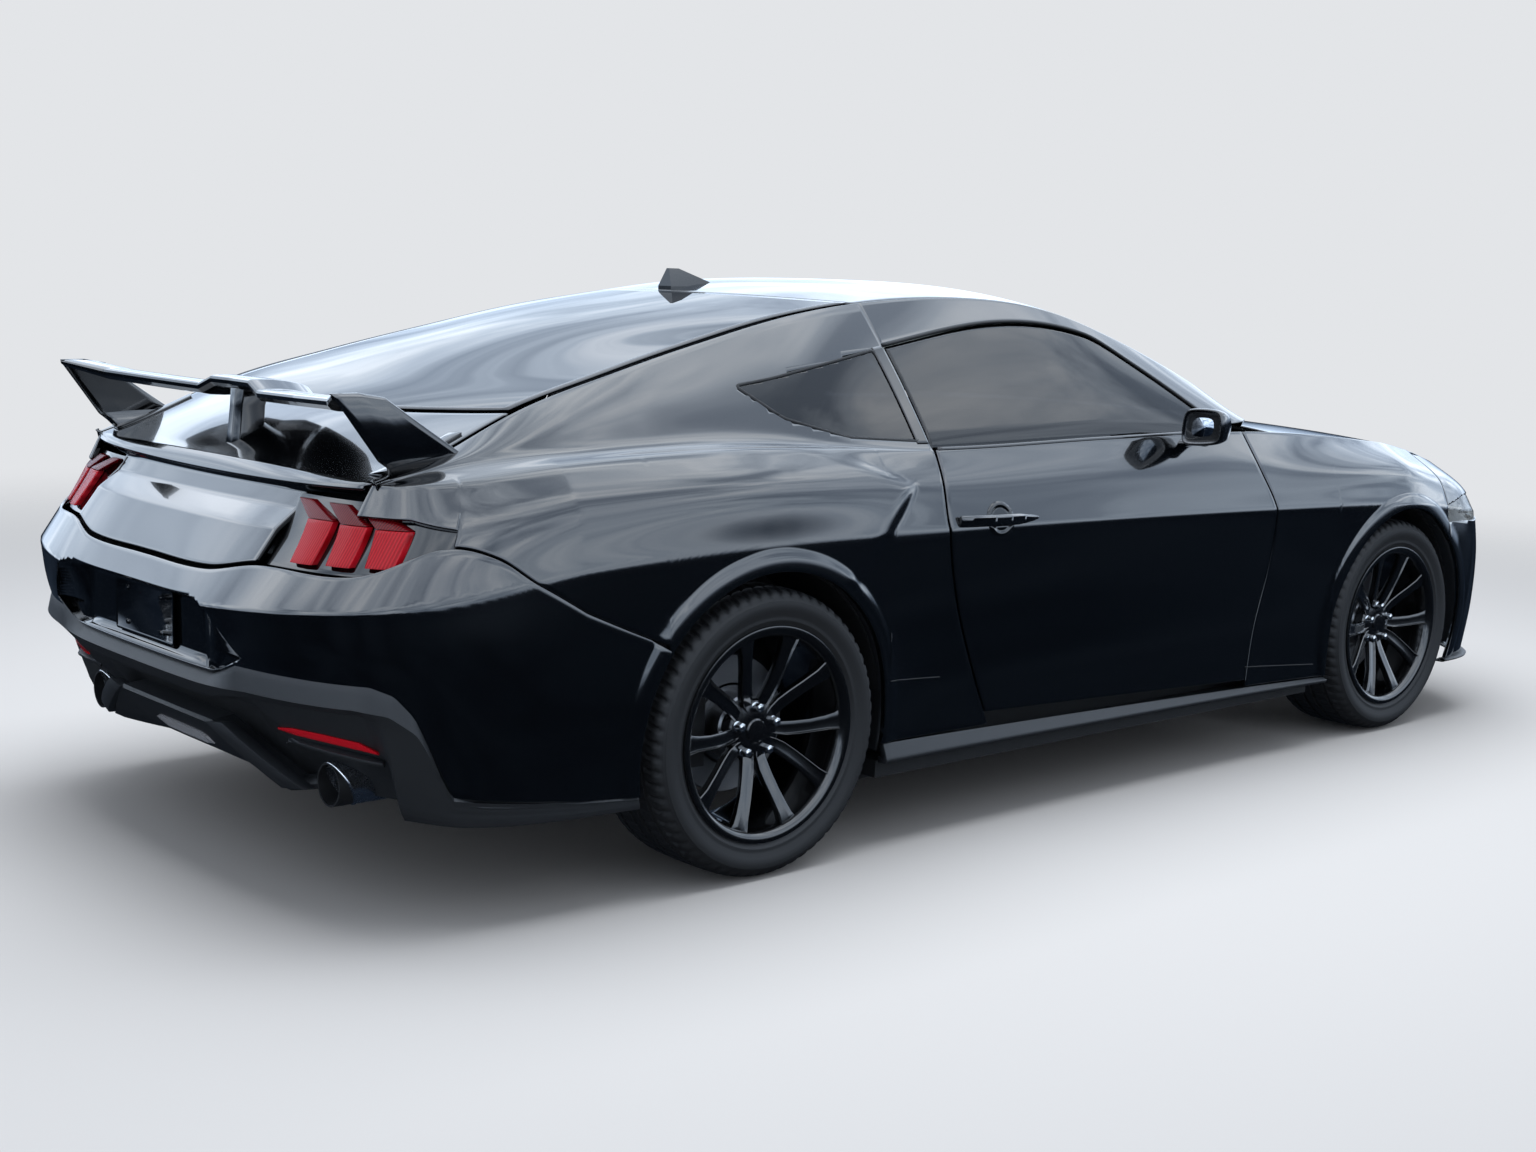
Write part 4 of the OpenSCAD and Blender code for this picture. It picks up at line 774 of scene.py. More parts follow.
def quarter_low(u):
    if u < lamp_corner - 0.5:
        y = side_point(u, 4).y
        return lamp_high + 1 if y < 800 else lerp(lamp_high, 862, (y - 800) / 68) + 1
    if u < axle_rear - 318:
        return height_at(tail_seam, u) + 4
    return arch_height(axle_rear, u) if u < axle_rear + arch_radius + 1 else skirt_top(u) + 6


haunch_tip = (-742, 903)


def haunched(p):
    """Raises the haunch's wedge, whose two folds meet at a tip beside the door."""
    behind = haunch_tip[0] - p.x
    under, over = haunch_tip[1] + 0.35 * behind - p.z, p.z - haunch_tip[1] + 0.96 * behind
    t = max(0, min(1, under / 34, over / 60))
    return p + Vector((0, 9 * t * (2 - t) * max(0, 1 - behind / 430), 0))


def quarter_spot(u, share):
    row = share * (side_rows + upper_rows)
    if row <= side_rows:
        v = lerp(step_of(u, quarter_low(u)), 5, row / side_rows)
        return haunched(flared(side_point(quarter_place(u, v), v)))
    row -= side_rows
    return upper_point(quarter_place(u, 5), row / 10 if row <= 10 else 1 + (row - 10) / (upper_rows - 10))


def soften(bm, columns, rows, first, last, times):
    """Rounds a fold that runs along a sheet, by smoothing each column between two of its rows."""
    bm.verts.ensure_lookup_table()
    width = columns + 1
    for _ in range(times):
        moved = [(i, j, (bm.verts[(j - 1) * width + i].co + bm.verts[j * width + i].co * 2 + bm.verts[(j + 1) * width + i].co) / 4)
                 for j in range(first, last + 1) for i in range(width)]
        for i, j, co in moved:
            bm.verts[j * width + i].co = co


def cut_through(made, outline_bm):
    """Cuts a closed form out of a finished piece."""
    mesh = bpy.data.meshes.new("cutter")
    outline_bm.to_mesh(mesh)
    outline_bm.free()
    cutter = bpy.data.objects.new("cutter", mesh)
    bpy.context.scene.collection.objects.link(cutter)
    cut = made.modifiers.new("opening", "BOOLEAN")
    cut.operation, cut.solver, cut.object = "DIFFERENCE", "EXACT", cutter
    shaped = bpy.data.meshes.new_from_object(made.evaluated_get(bpy.context.evaluated_depsgraph_get()))
    made.modifiers.clear()
    old, made.data = made.data, shaped
    shaped.name = old.name
    bpy.data.meshes.remove(old)
    bpy.data.objects.remove(cutter)
    bpy.data.meshes.remove(mesh)


def side_opening(points, radius, low, high):
    """A closed form with a rounded outline in the side view, given as [x, z], from low to high across the car."""
    bm = bmesh.new()
    face = bm.faces.new([bm.verts.new((x, low, z)) for x, z in points])
    bmesh.ops.bevel(bm, geom=bm.verts[:], offset=radius, segments=5, profile=0.5, affect="VERTICES", material=-1)
    top = bmesh.ops.extrude_face_region(bm, geom=bm.faces[:])["geom"]
    bmesh.ops.translate(bm, vec=(0, high - low, 0), verts=[v for v in top if isinstance(v, bmesh.types.BMVert)])
    bmesh.ops.recalc_face_normals(bm, faces=bm.faces)
    return bm


window_outline = [(axle_rear + 62, 1136), (axle_rear + 180, 1152), (b_line - 42, 1218), (b_line - 30, 1000),
                  (axle_rear + 330, 1016), (axle_rear + 160, 1062)]
bm = panel(quarter_places, side_rows + upper_rows, quarter_spot)
soften(bm, len(quarter_places) - 1, side_rows + upper_rows, side_rows - 5, side_rows + 5, 14)
soften(bm, len(quarter_places) - 1, side_rows + upper_rows, side_rows + 6, side_rows + 14, 14)
roll_edges(bm)
both_sides(bm)
quarter = piece("quarter_panel_skins", metres(bm), black_paint, "chassis", "black_paint", "quarter_panels", wall=0.0012)
opening = side_opening(window_outline, 14, 500, 1000)
both_sides(opening)
bmesh.ops.recalc_face_normals(opening, faces=opening.faces)
cut_through(quarter, metres(opening))

# Strip over the door: the visible side of the roof rail, from the screen pillar's foot to the quarter panel.
window_top = [(axle_rear + 62, 1137), (b_line, 1226), (bay(0.344), 1290), (bay(0.586), 1262), (bay(0.707), 1172),
              (bay(0.843), 1042), (bay(0.864), 1008), (screen_foot, 1006)]


def window_share(u, gap):
    """Where the side window's top lies between the sail's base (1) and the roof rail (2)."""
    base, rail = rail_at(sail_base, u), rail_at(roof_rail, u)
    return 1 + max(0.02, min(0.9, (height_at(window_top, u) + gap - base.z) / (rail.z - base.z)))


rail_places = spread(b_line - gap_edge + 0.3, screen_foot, 150)
bm = panel(rail_places, 14, lambda u, share: upper_point(u, lerp(window_share(u, shut_gap), 2, share)))
roll_edges(bm, radius=3, depth=18)
both_sides(bm)
piece("roof_rail_skins", metres(bm), black_paint, "chassis", "black_paint", "roof_rails", wall=0.0015)

# Roof: one sheet between the rails, with a narrow rolled ditch along each side.
bm = panel(spread(-0.972, 0.972, 72), 70, lambda t, share: top_point(lerp(b_line, header, share), t))
roll_edges(bm, radius=3, depth=14)
piece("roof_skin", metres(bm), black_paint, "chassis", "black_paint", "roof", wall=0.0012)

# Window glass: laminated and toughened panes about 5 mm thick, bonded flush, with a black printed band
# round their edges. The side and rear panes carry a dark film.
dark_glass, tree, shader = finish("dark filmed toughened glass", "#1a1d21", 0.0, Transmission_Weight=1.0, IOR=1.52)
clear_glass, tree, shader = finish("laminated screen glass", "#a9b4b6", 0.0, Transmission_Weight=1.0, IOR=1.52)
printed_band, tree, shader = finish("black ceramic print under glass", "#050607", 0.25, Coat_Weight=1.0, Coat_Roughness=0.02)
grain(tree, shader, 1500, 0.00002)


def pane(name, places, steps, spot, coat, body, slot, node, thick=0.005, band=2):
    """A pane, whose outermost squares carry the printed band."""
    bm = panel(places, steps, spot)
    rim = {v for v in bm.verts if v.is_boundary}
    for _ in range(band):
        edge_faces = [f for f in bm.faces if any(v in rim for v in f.verts)]
        for f in edge_faces:
            f.material_index = 1
        rim |= {v for f in edge_faces for v in f.verts}
    return piece(name, metres(bm), [coat, printed_band], body, slot, node, wall=thick)


pane("windscreen_pane", spread(-0.972, 0.972, 60), 60, lambda t, share: top_point(lerp(header + 4, screen_foot, share), t),
     clear_glass, "chassis", "clear_glass", "windscreen", band=1)
pane("rear_window_pane", spread(-0.952, 0.952, 60), 70, lambda t, share: top_point(lerp(deck_front + 18, b_line - 4, share), t),
     dark_glass, "chassis", "tinted_glass", "rear_window", band=1)

# Hood: an aluminium pressing with a raised middle that fades into the nose, hinged at the screen.


def hood_spot(share_along, t):
    u = lerp(door_front + 92, nose_corner + 0.4 * nose_run, share_along)
    end = side_point(u, 5)
    x = lerp(door_front + 235, nose - 76, share_along)
    return crowned((x, 0, height_at(hood_line, x)), end - Vector((0, shut_gap + 5, 0)), t)


bm = panel(spread(-1, 1, 96), 96, lambda t, share: hood_spot(share, t))
roll_edges(bm, radius=3, depth=14)
piece("hood_skin", metres(bm), black_paint, "hood", "black_paint", "hood", wall=0.0015)

# Deck lid: the boot's cover. It turns over a sharp lip at the tail, hollows under it, and ends in a flat
# panel between the lamps.
lid_hollow, lid_share = 26, 0.972
lid_low_rows, lid_top_rows = 44, 40
lip_steps = [(0.0, None), (0.56, 4.0), (0.68, 4.35), (0.86, 4.77), (0.93, 4.9), (1.0, 4.98)]


def lid_spot(t, share):
    rows = lid_low_rows + lid_top_rows
    row = share * rows
    if row > lid_low_rows:
        return top_point(lerp(deck_rear + 6, deck_front - 6, (row - lid_low_rows) / lid_top_rows), t * lid_share)
    u = tail_place(abs(t) * (lamp_inner - 7) / side_width(3))
    low = step_of(u, height_at(tail_seam, u) + 9)
    part = row / lid_low_rows
    for (p0, v0), (p1, v1) in zip(lip_steps, lip_steps[1:]):
        if part <= p1:
            v = lerp(low if v0 is None else v0, v1, (part - p0) / (p1 - p0))
            break
    width = lamp_inner - 7 if v < 4.77 else 678
    p = tail_point(t * width, v)
    hollow = 0 if v <= 4 or v >= 4.9 else lid_hollow * min(1, (v - 4) / 0.35) * min(1, (4.9 - v) / 0.13)
    return p + Vector((hollow, 0, 0))


bm = panel(spread(-1, 1, 96), lid_low_rows + lid_top_rows, lid_spot)
roll_edges(bm, radius=2.5, depth=12)
piece("deck_lid_skin", metres(bm), black_paint, "deck", "black_paint", "deck_lid", wall=0.0012)

# Doors: an outer pressing folded over a 70 mm frame, closed inside by a plain trim board.


def door_spot(a, b, inner=0):
    v = lerp(lerp(0.47, 0.26, a) + (0.07 if inner else 0), 5, b)
    return side_point(lerp(door_rear + rear_lean(v) + gap_edge + inner, door_front + front_lean(v) - gap_edge - inner, a), v)


for side, name in ((1, "left"), (-1, "right")):
    bm = panel(spread(0, 1, 110), 60, door_spot)
    roll_edges(bm, radius=2.5, depth=14)
    bmesh.ops.scale(bm, vec=(1, side, 1), verts=bm.verts)
    if side < 0:
        bmesh.ops.reverse_faces(bm, faces=bm.faces)
    piece(f"door_skin_{name}", metres(bm), black_paint, f"door_{name}", "black_paint", f"door_{name}", wall=0.0012)

# Bumper covers: moulded and painted in the body's colour.
head_low, head_high, head_inner = 655, 742, 500
front_places = [lerp(front_seam + gap_edge, nose_corner + nose_run, i / 90) for i in range(91)]


def arch_edge(axle, z, side):
    return axle + side * math.sqrt(max(arch_radius ** 2 - (z - wheel_height) ** 2, 0))


def front_spot(u, share):
    v = 4.85 * share
    first = front_places[0]
    if u < nose_corner + 200:
        z = on_column(side_column(1860.0), v).z
        u = lerp(max(first, arch_edge(axle_front, z, 1)), nose_corner + 200, (u - first) / (nose_corner + 200 - first))
    return flared(side_point(u, v))


bm = panel(front_places, 60, front_spot)
made = bmesh.ops.duplicate(bm, geom=bm.verts[:] + bm.edges[:] + bm.faces[:])["geom"]
bmesh.ops.scale(bm, vec=(1, -1, 1), verts=[v for v in made if isinstance(v, bmesh.types.BMVert)])
bmesh.ops.reverse_faces(bm, faces=[f for f in made if isinstance(f, bmesh.types.BMFace)])
bmesh.ops.remove_doubles(bm, verts=bm.verts, dist=0.5)
roll_edges(bm, radius=2.5, depth=12)
front_cover = piece("front_bumper_cover", metres(bm), black_paint, "chassis", "black_paint", "front_bumper", wall=0.002)


def end_opening(points, radius, low, high):
    """A closed form with a rounded outline in the end view, given as [y, z], from low to high along the car."""
    bm = bmesh.new()
    bm.faces.new([bm.verts.new((low, y, z)) for y, z in points])
    bmesh.ops.bevel(bm, geom=bm.verts[:], offset=radius, segments=4, profile=0.5, affect="VERTICES", material=-1)
    top = bmesh.ops.extrude_face_region(bm, geom=bm.faces[:])["geom"]
    bmesh.ops.translate(bm, vec=(high - low, 0, 0), verts=[v for v in top if isinstance(v, bmesh.types.BMVert)])
    bmesh.ops.recalc_face_normals(bm, faces=bm.faces)
    return bm


lamp_outline = [(head_inner, head_low), (880, head_low), (958, head_low + 20), (958, head_low + 36), (880, head_high),
                (head_inner - 20, head_high)]
opening = end_opening(lamp_outline, 8, nose_corner - 115, nose + 50)
both_sides(opening)
bmesh.ops.recalc_face_normals(opening, faces=opening.faces)
cut_through(front_cover, metres(opening))
cut_through(front_cover, metres(end_opening([(-470, 560), (470, 560), (440, 728), (-440, 728)], 18, nose - 250, nose + 60)))
cut_through(front_cover, metres(end_opening([(-620, 240), (620, 240), (560, 420), (-560, 420)], 18, nose - 250, nose + 60)))

# Top edge of the grey frame, along the side from the tail's middle to the wheel arch
frame_line = [(tail_corner - 1301, 512), (-2779, 512), (-2733, 526), (-2686, 543), (-2373, 541), (-2325, 524), (-2290, 480),
              (-2245, 330), (-2225, 304), (-2150, 288), (axle_rear - 287, 250), (axle_rear, 245)]
bumper_places = [lerp(tail_corner - tail_run, axle_rear - 287, i / 190) for i in range(191)]


def along(line, x, column=1):
    """Straight-line value between the rows of a line."""
    for a, b in zip(line, line[1:]):
        if x <= b[0]:
            return lerp(a[column], b[column], max(0, (x - a[0]) / (b[0] - a[0])))
    return line[-1][column]


def at_arch(u, z):
    """Keeps a bumper's edge round the wheel arch."""
    last, start = bumper_places[-1], tail_corner - 120
    return lerp(start, min(arch_edge(axle_rear, z, -1), last), (u - start) / (last - start)) if u > start else u


def bumper_spot(u, share):
    high = step_of(u, height_at(tail_seam, u) - 4)
    v = lerp(step_of(u, along(frame_line, u) + 1.5), high, share)
    return flared(side_point(at_arch(u, on_column(side_column(u), v).z), v))


def round_tail(bm):
    """Carries one side's cover on round the tail to the other side."""
    both_sides(bm)
    bmesh.ops.remove_doubles(bm, verts=bm.verts, dist=0.5)


bm = panel(bumper_places, 40, bumper_spot)
round_tail(bm)
roll_edges(bm, radius=2.5, depth=12)
rear_cover = piece("rear_bumper_cover", metres(bm), black_paint, "chassis", "black_paint", "rear_bumper", wall=0.002)
# Recess for the number plate, and the plate itself, left blank
recess_outline = [(-335, 677), (335, 677), (393, 659), (487, 563), (399, 528), (357, 519), (-357, 519), (-399, 528),
                  (-487, 563), (-393, 659)]
cut_through(rear_cover, metres(end_opening(recess_outline, 5, tail - 40, tail + 120)))
# Gloss black polycarbonate: deep black mirror, moulded smooth
gloss_black, tree, shader = finish("gloss black moulded plastic", "#040506", 0.08, Coat_Weight=0.6, Coat_Roughness=0.02)
grain(tree, shader, 160, 0.00003)


def on_tail(y, z, deep=0.0):
    """Point of the tail's surface at a place across it and a height, pushed in along the car."""
    u = tail_place(min(abs(y) / side_width(3.0), 0.999))
    p = side_point(u, step_of(u, z))
    return Vector((p.x + deep, math.copysign(p.y, y), z))


bm = bmesh.new()
rim, floor_rim = [], []
for (y0, z0), (y1, z1) in zip(recess_outline, recess_outline[1:] + recess_outline[:1]):
    for t in spread(0, 1, 12)[:-1]:
        y, z = lerp(y0, y1, t), lerp(z0, z1, t)
        rim.append(bm.verts.new(on_tail(y * 1.004, z + (2 if z > 600 else -2), 1.5)))
        floor_rim.append(bm.verts.new((tail + 66, max(-305, min(305, y)), max(531, min(662, z)))))
edges = [[bm.edges.new((ring[i - 1], ring[i])) for i in range(len(ring))] for ring in (rim, floor_rim)]
bmesh.ops.bridge_loops(bm, edges=edges[0] + edges[1])
bmesh.ops.contextual_create(bm, geom=edges[1])
bmesh.ops.bevel(bm, geom=edges[1], offset=14, segments=4, profile=0.5, affect="EDGES", material=-1)
bmesh.ops.remove_doubles(bm, verts=bm.verts, dist=0.01)
face_out(bm)
sharpen(piece("plate_recess", metres(bm), gloss_black, "chassis", "gloss_black_plastic", wall=0.002), 40)
bm = bmesh.new()
bmesh.ops.create_cube(bm, size=1, matrix=Matrix.Translation((tail + 58, 0, 597)) @ Matrix.Diagonal((4, 305, 125, 1)))
bmesh.ops.bevel(bm, geom=[e for e in bm.edges if abs(e.verts[0].co.x - e.verts[1].co.x) > 1], offset=9, segments=5,
                profile=0.5, affect="EDGES", material=-1)
front = [f for f in bm.faces if f.normal.x < -0.9]
bmesh.ops.inset_region(bm, faces=front, thickness=5, depth=0)
bmesh.ops.inset_region(bm, faces=front, thickness=1.6, depth=-0.9)
for y in (-88, 88):
    for z in (557, 637):
        bmesh.ops.create_cone(bm, cap_ends=True, segments=20, radius1=6.5, radius2=5, depth=3,
                              matrix=Matrix.Translation((tail + 55, y, z)) @ Matrix.Rotation(-math.pi / 2, 4, "Y"))
sharpen(piece("blank_number_plate", metres(bm), gloss_black, "chassis", "gloss_black_plastic"), 35)

# Rear valance: one textured polypropylene moulding. A frame runs round its top, over a dark groove in
# the middle and a hooded pod on each side; slanted legs part the pods from the diffuser.
textured_plastic, tree, shader = finish("grained black polypropylene", "#24282d", 0.46)
grain(tree, shader, 1100, 0.00022, (0.4, 0.56), kind="VORONOI")
# Lines along the moulding from bottom to top, as (place along the side, height, how far it stands out)
valance_lines = [
    [(-3072, 250, -80), (-2850, 250, -78), (-2686, 246, -30), (-2600, 262, -92), (-2392, 262, -92), (-2366, 244, -6),
     (-2225, 236, 0), (-1521, 222, 0)],
    [(-3072, 278, -44), (-2850, 278, -42), (-2686, 250, -24), (-2600, 270, -93), (-2392, 270, -90), (-2366, 262, 4),
     (-2225, 246, 2), (-1521, 226, 1)],
    [(-3072, 371, 2), (-2866, 371, 4), (-2686, 258, -12), (-2600, 276, -94), (-2392, 280, -88), (-2366, 285, 8),
     (-2225, 256, 3), (-1521, 230, 2)],
    [(-3072, 378, -6), (-2866, 378, -6), (-2686, 266, -30), (-2600, 282, -94), (-2392, 290, -86), (-2366, 300, 8),
     (-2225, 262, 3), (-1521, 232, 2)],
    [(-3072, 384, -64), (-2866, 384, -64), (-2686, 276, -84), (-2600, 300, -94), (-2392, 310, -82), (-2366, 330, 10),
     (-2225, 268, 3), (-1521, 234, 2)],
    [(-3072, 443, -30), (-2800, 444, -30), (-2720, 452, -30), (-2640, 394, -24), (-2400, 388, -22), (-2366, 400, 12),
     (-2225, 276, 4), (-1521, 238, 2)],
    [(-3072, 449, 14), (-2800, 450, 14), (-2720, 466, 10), (-2660, 474, 0), (-2410, 478, 0), (-2366, 468, 14),
     (-2290, 420, 12), (-2225, 284, 4), (-1521, 241, 2)],
    [(-3072, 454, 19), (-2800, 455, 19), (-2720, 470, 18), (-2660, 479, 14), (-2410, 483, 14), (-2366, 474, 16),
     (-2290, 432, 13), (-2225, 290, 5), (-1521, 243, 2)],
    [(-3072, 484, 25), (-2800, 484, 25), (-2720, 488, 25), (-2660, 494, 25), (-2410, 494, 25), (-2340, 484, 20),
     (-2290, 446, 14), (-2225, 297, 6), (-1521, 246, 3)],
    [(-3072, 512, -10), (-2779, 512, -10), (-2733, 525, -4), (-2686, 543, 0), (-2373, 541, 0), (-2325, 524, 0),
     (-2290, 480, 0), (-2245, 330, 0), (-2225, 304, 0), (-2150, 288, 0), (-1521, 250, 0)]]
rows_between = [2, 5, 1, 2, 3, 3, 1, 3, 3]
valance_rows = [(k, i / n) for k, n in enumerate(rows_between) for i in range(n)] + [(len(rows_between) - 1, 1.0)]


def stand_out(u, z, out):
    """Point of the body side at a height, moved straight out from it."""
    v = step_of(u, z)
    a, b, p = side_point(u - 4, v), side_point(u + 4, v), side_point(u, v)
    facing = Vector((a.y - b.y, b.x - a.x, 0)).normalized()
    return Vector((p.x, p.y, z)) + facing * out


def valance_spot(u, share):
    k, part = valance_rows[round(share * (len(valance_rows) - 1))]
    z = lerp(along(valance_lines[k], u), along(valance_lines[k + 1], u), part)
    out = lerp(along(valance_lines[k], u, 2), along(valance_lines[k + 1], u, 2), part)
    return stand_out(at_arch(u, z), max(z, side_column(u)[0].z + 0.5), out)


bm = panel(bumper_places, len(valance_rows) - 1, valance_spot)
round_tail(bm)
roll_edges(bm, radius=1.5, depth=8)
sharpen(piece("rear_valance_moulding", metres(bm), textured_plastic, "chassis", "textured_plastic", "rear_valance",
              wall=0.002), 24)
# Slanted legs, and the ledge that carries each reflector
bm = bmesh.new()
leg_path = [(-2866, 378, 9), (-2820, 352, 10), (-2760, 318, 8), (-2700, 284, 4), (-2668, 264, 0)]
loops = []
for u, z, out in leg_path:
    top, low = stand_out(u + 52, z + 6, out - 6), stand_out(u - 8, z - 4, out)
    loops.append([low, top, top + Vector((34, 0, -2)), low + Vector((34, 0, -2))])
loft(bm, loops)
ledge = []
for u, z, wide in [(-2650, 396, 4), (-2600, 398, 24), (-2520, 396, 34), (-2440, 388, 32), (-2400, 380, 16)]:
    inner, outer = stand_out(u, z - 8, -40), stand_out(u, z - 14, -40 + wide)
    ledge.append([inner, outer, outer + Vector((3, 0, -9)), inner + Vector((0, 0, -16))])
loft(bm, ledge)
bmesh.ops.bevel(bm, geom=[e for e in bm.edges if e.calc_face_angle(0) > 0.7], offset=2.5, segments=2, profile=0.5,
                affect="EDGES", material=-1)
both_sides(bm)
bmesh.ops.recalc_face_normals(bm, faces=bm.faces)
sharpen(piece("valance_legs", metres(bm), textured_plastic, "chassis", "textured_plastic"), 30)

# Side skirts: the same grained moulding under each door, flat on top and turned out at its foot.
skirt_places = spread(skirt_start, skirt_end, 90)
skirt_profile = [(-12, 2), (6, 3), (14, 5), (18, 10), (18, 16)]


def skirt_spot(u, share):
    foot, high = side_point(u, 0), skirt_top(u)
    rows = share * 12
    if rows <= 4:
        across, up = skirt_profile[round(rows)]
        return foot + Vector((0, across, up))
    top = Vector((u, side_point(u, step_of(u, high)).y + 2, high))
    start = foot + Vector((0, 18, 16))
    return lerp(start, top, (rows - 4) / 8)


bm = panel(skirt_places, 12, skirt_spot)
roll_edges(bm, radius=2, depth=14)
both_sides(bm)
piece("side_skirt_mouldings", metres(bm), textured_plastic, "chassis", "textured_plastic", "side_skirts", wall=0.003)

# Tail lamps: a smoked housing a side with three bent light bars. The lenses are moulded acrylic, red
# through and through, with fine upright flutes behind a polished face.
red_lens, tree, shader = finish("red moulded acrylic", "#b3101f", 0.16, IOR=1.49, Specular_IOR_Level=0.22)
deep_red_lens, tree, shader = finish("deep red moulded acrylic", "#5c0710", 0.16, IOR=1.49, Specular_IOR_Level=0.22)
# Each lens's two flute colours: the dark one is painted shade in the grooves, the light one a painted glow on the
# crests
for made, dark, light in ((red_lens, "#a50a18", "#cf1a2b"), (deep_red_lens, "#4a040b", "#860b17")):
    # Flutes 3 mm apart run up the bars. Each flute is painted lighter along its crest, a painted glow, and darker in
    # its groove, painted shade
    tree = made.node_tree
    shader = tree.nodes["Principled BSDF"]
    place = add(tree, "ShaderNodeTexCoord")
    flutes = add(tree, "ShaderNodeTexWave", {"bands_direction": "Y"}, {"Scale": 52.0, "Distortion": 0.0},
                 {"Vector": (place, "Object")})
    painted_flute_shading = ramp(tree, flutes, "Fac", [(0.0, dark), (1.0, light)])
    tree.links.new(painted_flute_shading.outputs["Color"], shader.inputs["Base Color"])
    ridge = add(tree, "ShaderNodeBump", values={"Distance": 0.0006, "Strength": 0.6}, links={"Height": (flutes, "Fac")})
    tree.links.new(ridge.outputs["Normal"], shader.inputs["Normal"])


def lamp_point(y, z, deep):
    u = tail_place(min(abs(y) / side_width(3.8), 0.999))
    p = side_point(u, step_of(u, z))
    return Vector((p.x + deep, p.y, z))


def lamp_edge(y):
    """Lowest and highest place of the lamp's housing at a place across the tail."""
    return lamp_low - 4 + max(0, y - 775) * 0.72, lamp_high + 6 - max(0, y - 806) * 0.3 + 18 * max(0, min(1, (712 - y) / 18))


bm = panel(spread(lamp_inner - 6, 862, 40), 16, lambda y, share: lamp_point(y, lerp(*lamp_edge(y), share), 24))
roll_edges(bm, radius=1, depth=10)
both_sides(bm)
piece("tail_lamp_housings", metres(bm), gloss_black, "chassis", "gloss_black_plastic", "tail_lamps", wall=0.002)
# Each bar: its inner and outer edge at the foot, the bend and the top, as distances from the middle
lamp_bars = [((561, 624), (552, 628), (488, 540)), ((658, 714), (648, 716), (590, 648)), ((744, 797), (734, 800), (696, 752))]
bar_heights, bar_tops = (774, 861), (897, 896, 879)
for part, coat in (("lower", red_lens), ("upper", deep_red_lens)):
    bm = bmesh.new()
    for k, bar in enumerate(lamp_bars):
        foot, bend, top = bar
        low, mid, high = bar_heights[0] + 3 * k, bar_heights[1] - 3 * k, bar_tops[k]
        ends = (foot, bend, low, mid, 7, 4) if part == "lower" else (bend, top, mid + 1.5, high, 4, 13)
        loops = []
        for t in spread(0, 1, 10):
            inner, outer = lerp(ends[0][0], ends[1][0], t), lerp(ends[0][1], ends[1][1], t)
            z, deep = lerp(ends[2], ends[3], t), lerp(ends[4], ends[5], t)
            loops.append([lamp_point(inner, z, deep + 18), lamp_point(inner, z, deep + 3), lamp_point(inner + 4, z, deep),
                          lamp_point(lerp(inner, outer, 0.5), z, deep - 2), lamp_point(outer - 4, z, deep),
                          lamp_point(outer, z, deep + 3), lamp_point(outer, z, deep + 18)])
        loft(bm, loops)
    bmesh.ops.recalc_face_normals(bm, faces=bm.faces)
    bmesh.ops.bevel(bm, geom=[e for e in bm.edges if e.calc_face_angle(0) > 0.9], offset=1.5, segments=2, profile=0.5,
                    affect="EDGES", material=-1)
    both_sides(bm)
    sharpen(piece(f"tail_lamp_bars_{part}", metres(bm), coat, "chassis", "red_lens"), 30)

# Reflectors in the pods, and the reversing lamp in the diffuser: moulded acrylic, snapped in.
bm = bmesh.new()
loops = []
for u, low, high in [(-2642, 402, 410), (-2600, 399, 417), (-2520, 397, 417), (-2440, 391, 411), (-2402, 386, 394)]:
    loops.append([stand_out(u, low, -19), stand_out(u, (low + high) / 2, -13), stand_out(u, high, -12),
                  stand_out(u, high, -34), stand_out(u, low, -40)])
loft(bm, loops)
bmesh.ops.recalc_face_normals(bm, faces=bm.faces)
bmesh.ops.bevel(bm, geom=[e for e in bm.edges if e.calc_face_angle(0) > 0.9], offset=1.2, segments=2, profile=0.5,
                affect="EDGES", material=-1)
both_sides(bm)
sharpen(piece("rear_reflectors", metres(bm), red_lens, "chassis", "red_lens"), 30)
# Clear acrylic over a silvered tray, with flutes 4 mm apart, each painted lighter on its crest as a painted highlight
# and darker in its groove as painted shade
pale_lens, tree, shader = finish("fluted clear acrylic", "#b9bdc6", 0.18, Coat_Weight=1.0, Coat_Roughness=0.03, IOR=1.49)
place = add(tree, "ShaderNodeTexCoord")
flutes = add(tree, "ShaderNodeTexWave", {"bands_direction": "Y"}, {"Scale": 40.0}, {"Vector": (place, "Object")})
painted_flute_shading = ramp(tree, flutes, "Fac", [(0.0, "#8e939c"), (1.0, "#d9dce3")])
tree.links.new(painted_flute_shading.outputs["Color"], shader.inputs["Base Color"])
ridge = add(tree, "ShaderNodeBump", values={"Distance": 0.0008, "Strength": 0.7}, links={"Height": (flutes, "Fac")})
tree.links.new(ridge.outputs["Normal"], shader.inputs["Normal"])
bm = bmesh.new()
middle = tail_corner - tail_run
reverse_loops = []
for y in spread(-128, 128, 20):
    u = tail_place(min(abs(y) / side_width(3.0), 0.999))
    side = math.copysign(1, y)
    inset = 9 * max(0, (abs(y) - 108) / 20)
    rows = [(290 + inset * 0.4, -34), (291 + inset, -28), (322 - inset, -17), (324 - inset, -22), (324 - inset, -40)]
    loop = [stand_out(u, z, out) for z, out in rows]
    reverse_loops.append([Vector((p.x, y, p.z)) for p in loop])
loft(bm, reverse_loops)
bmesh.ops.recalc_face_normals(bm, faces=bm.faces)
sharpen(piece("reversing_lamp", metres(bm), pale_lens, "chassis", "clear_lens"), 30)

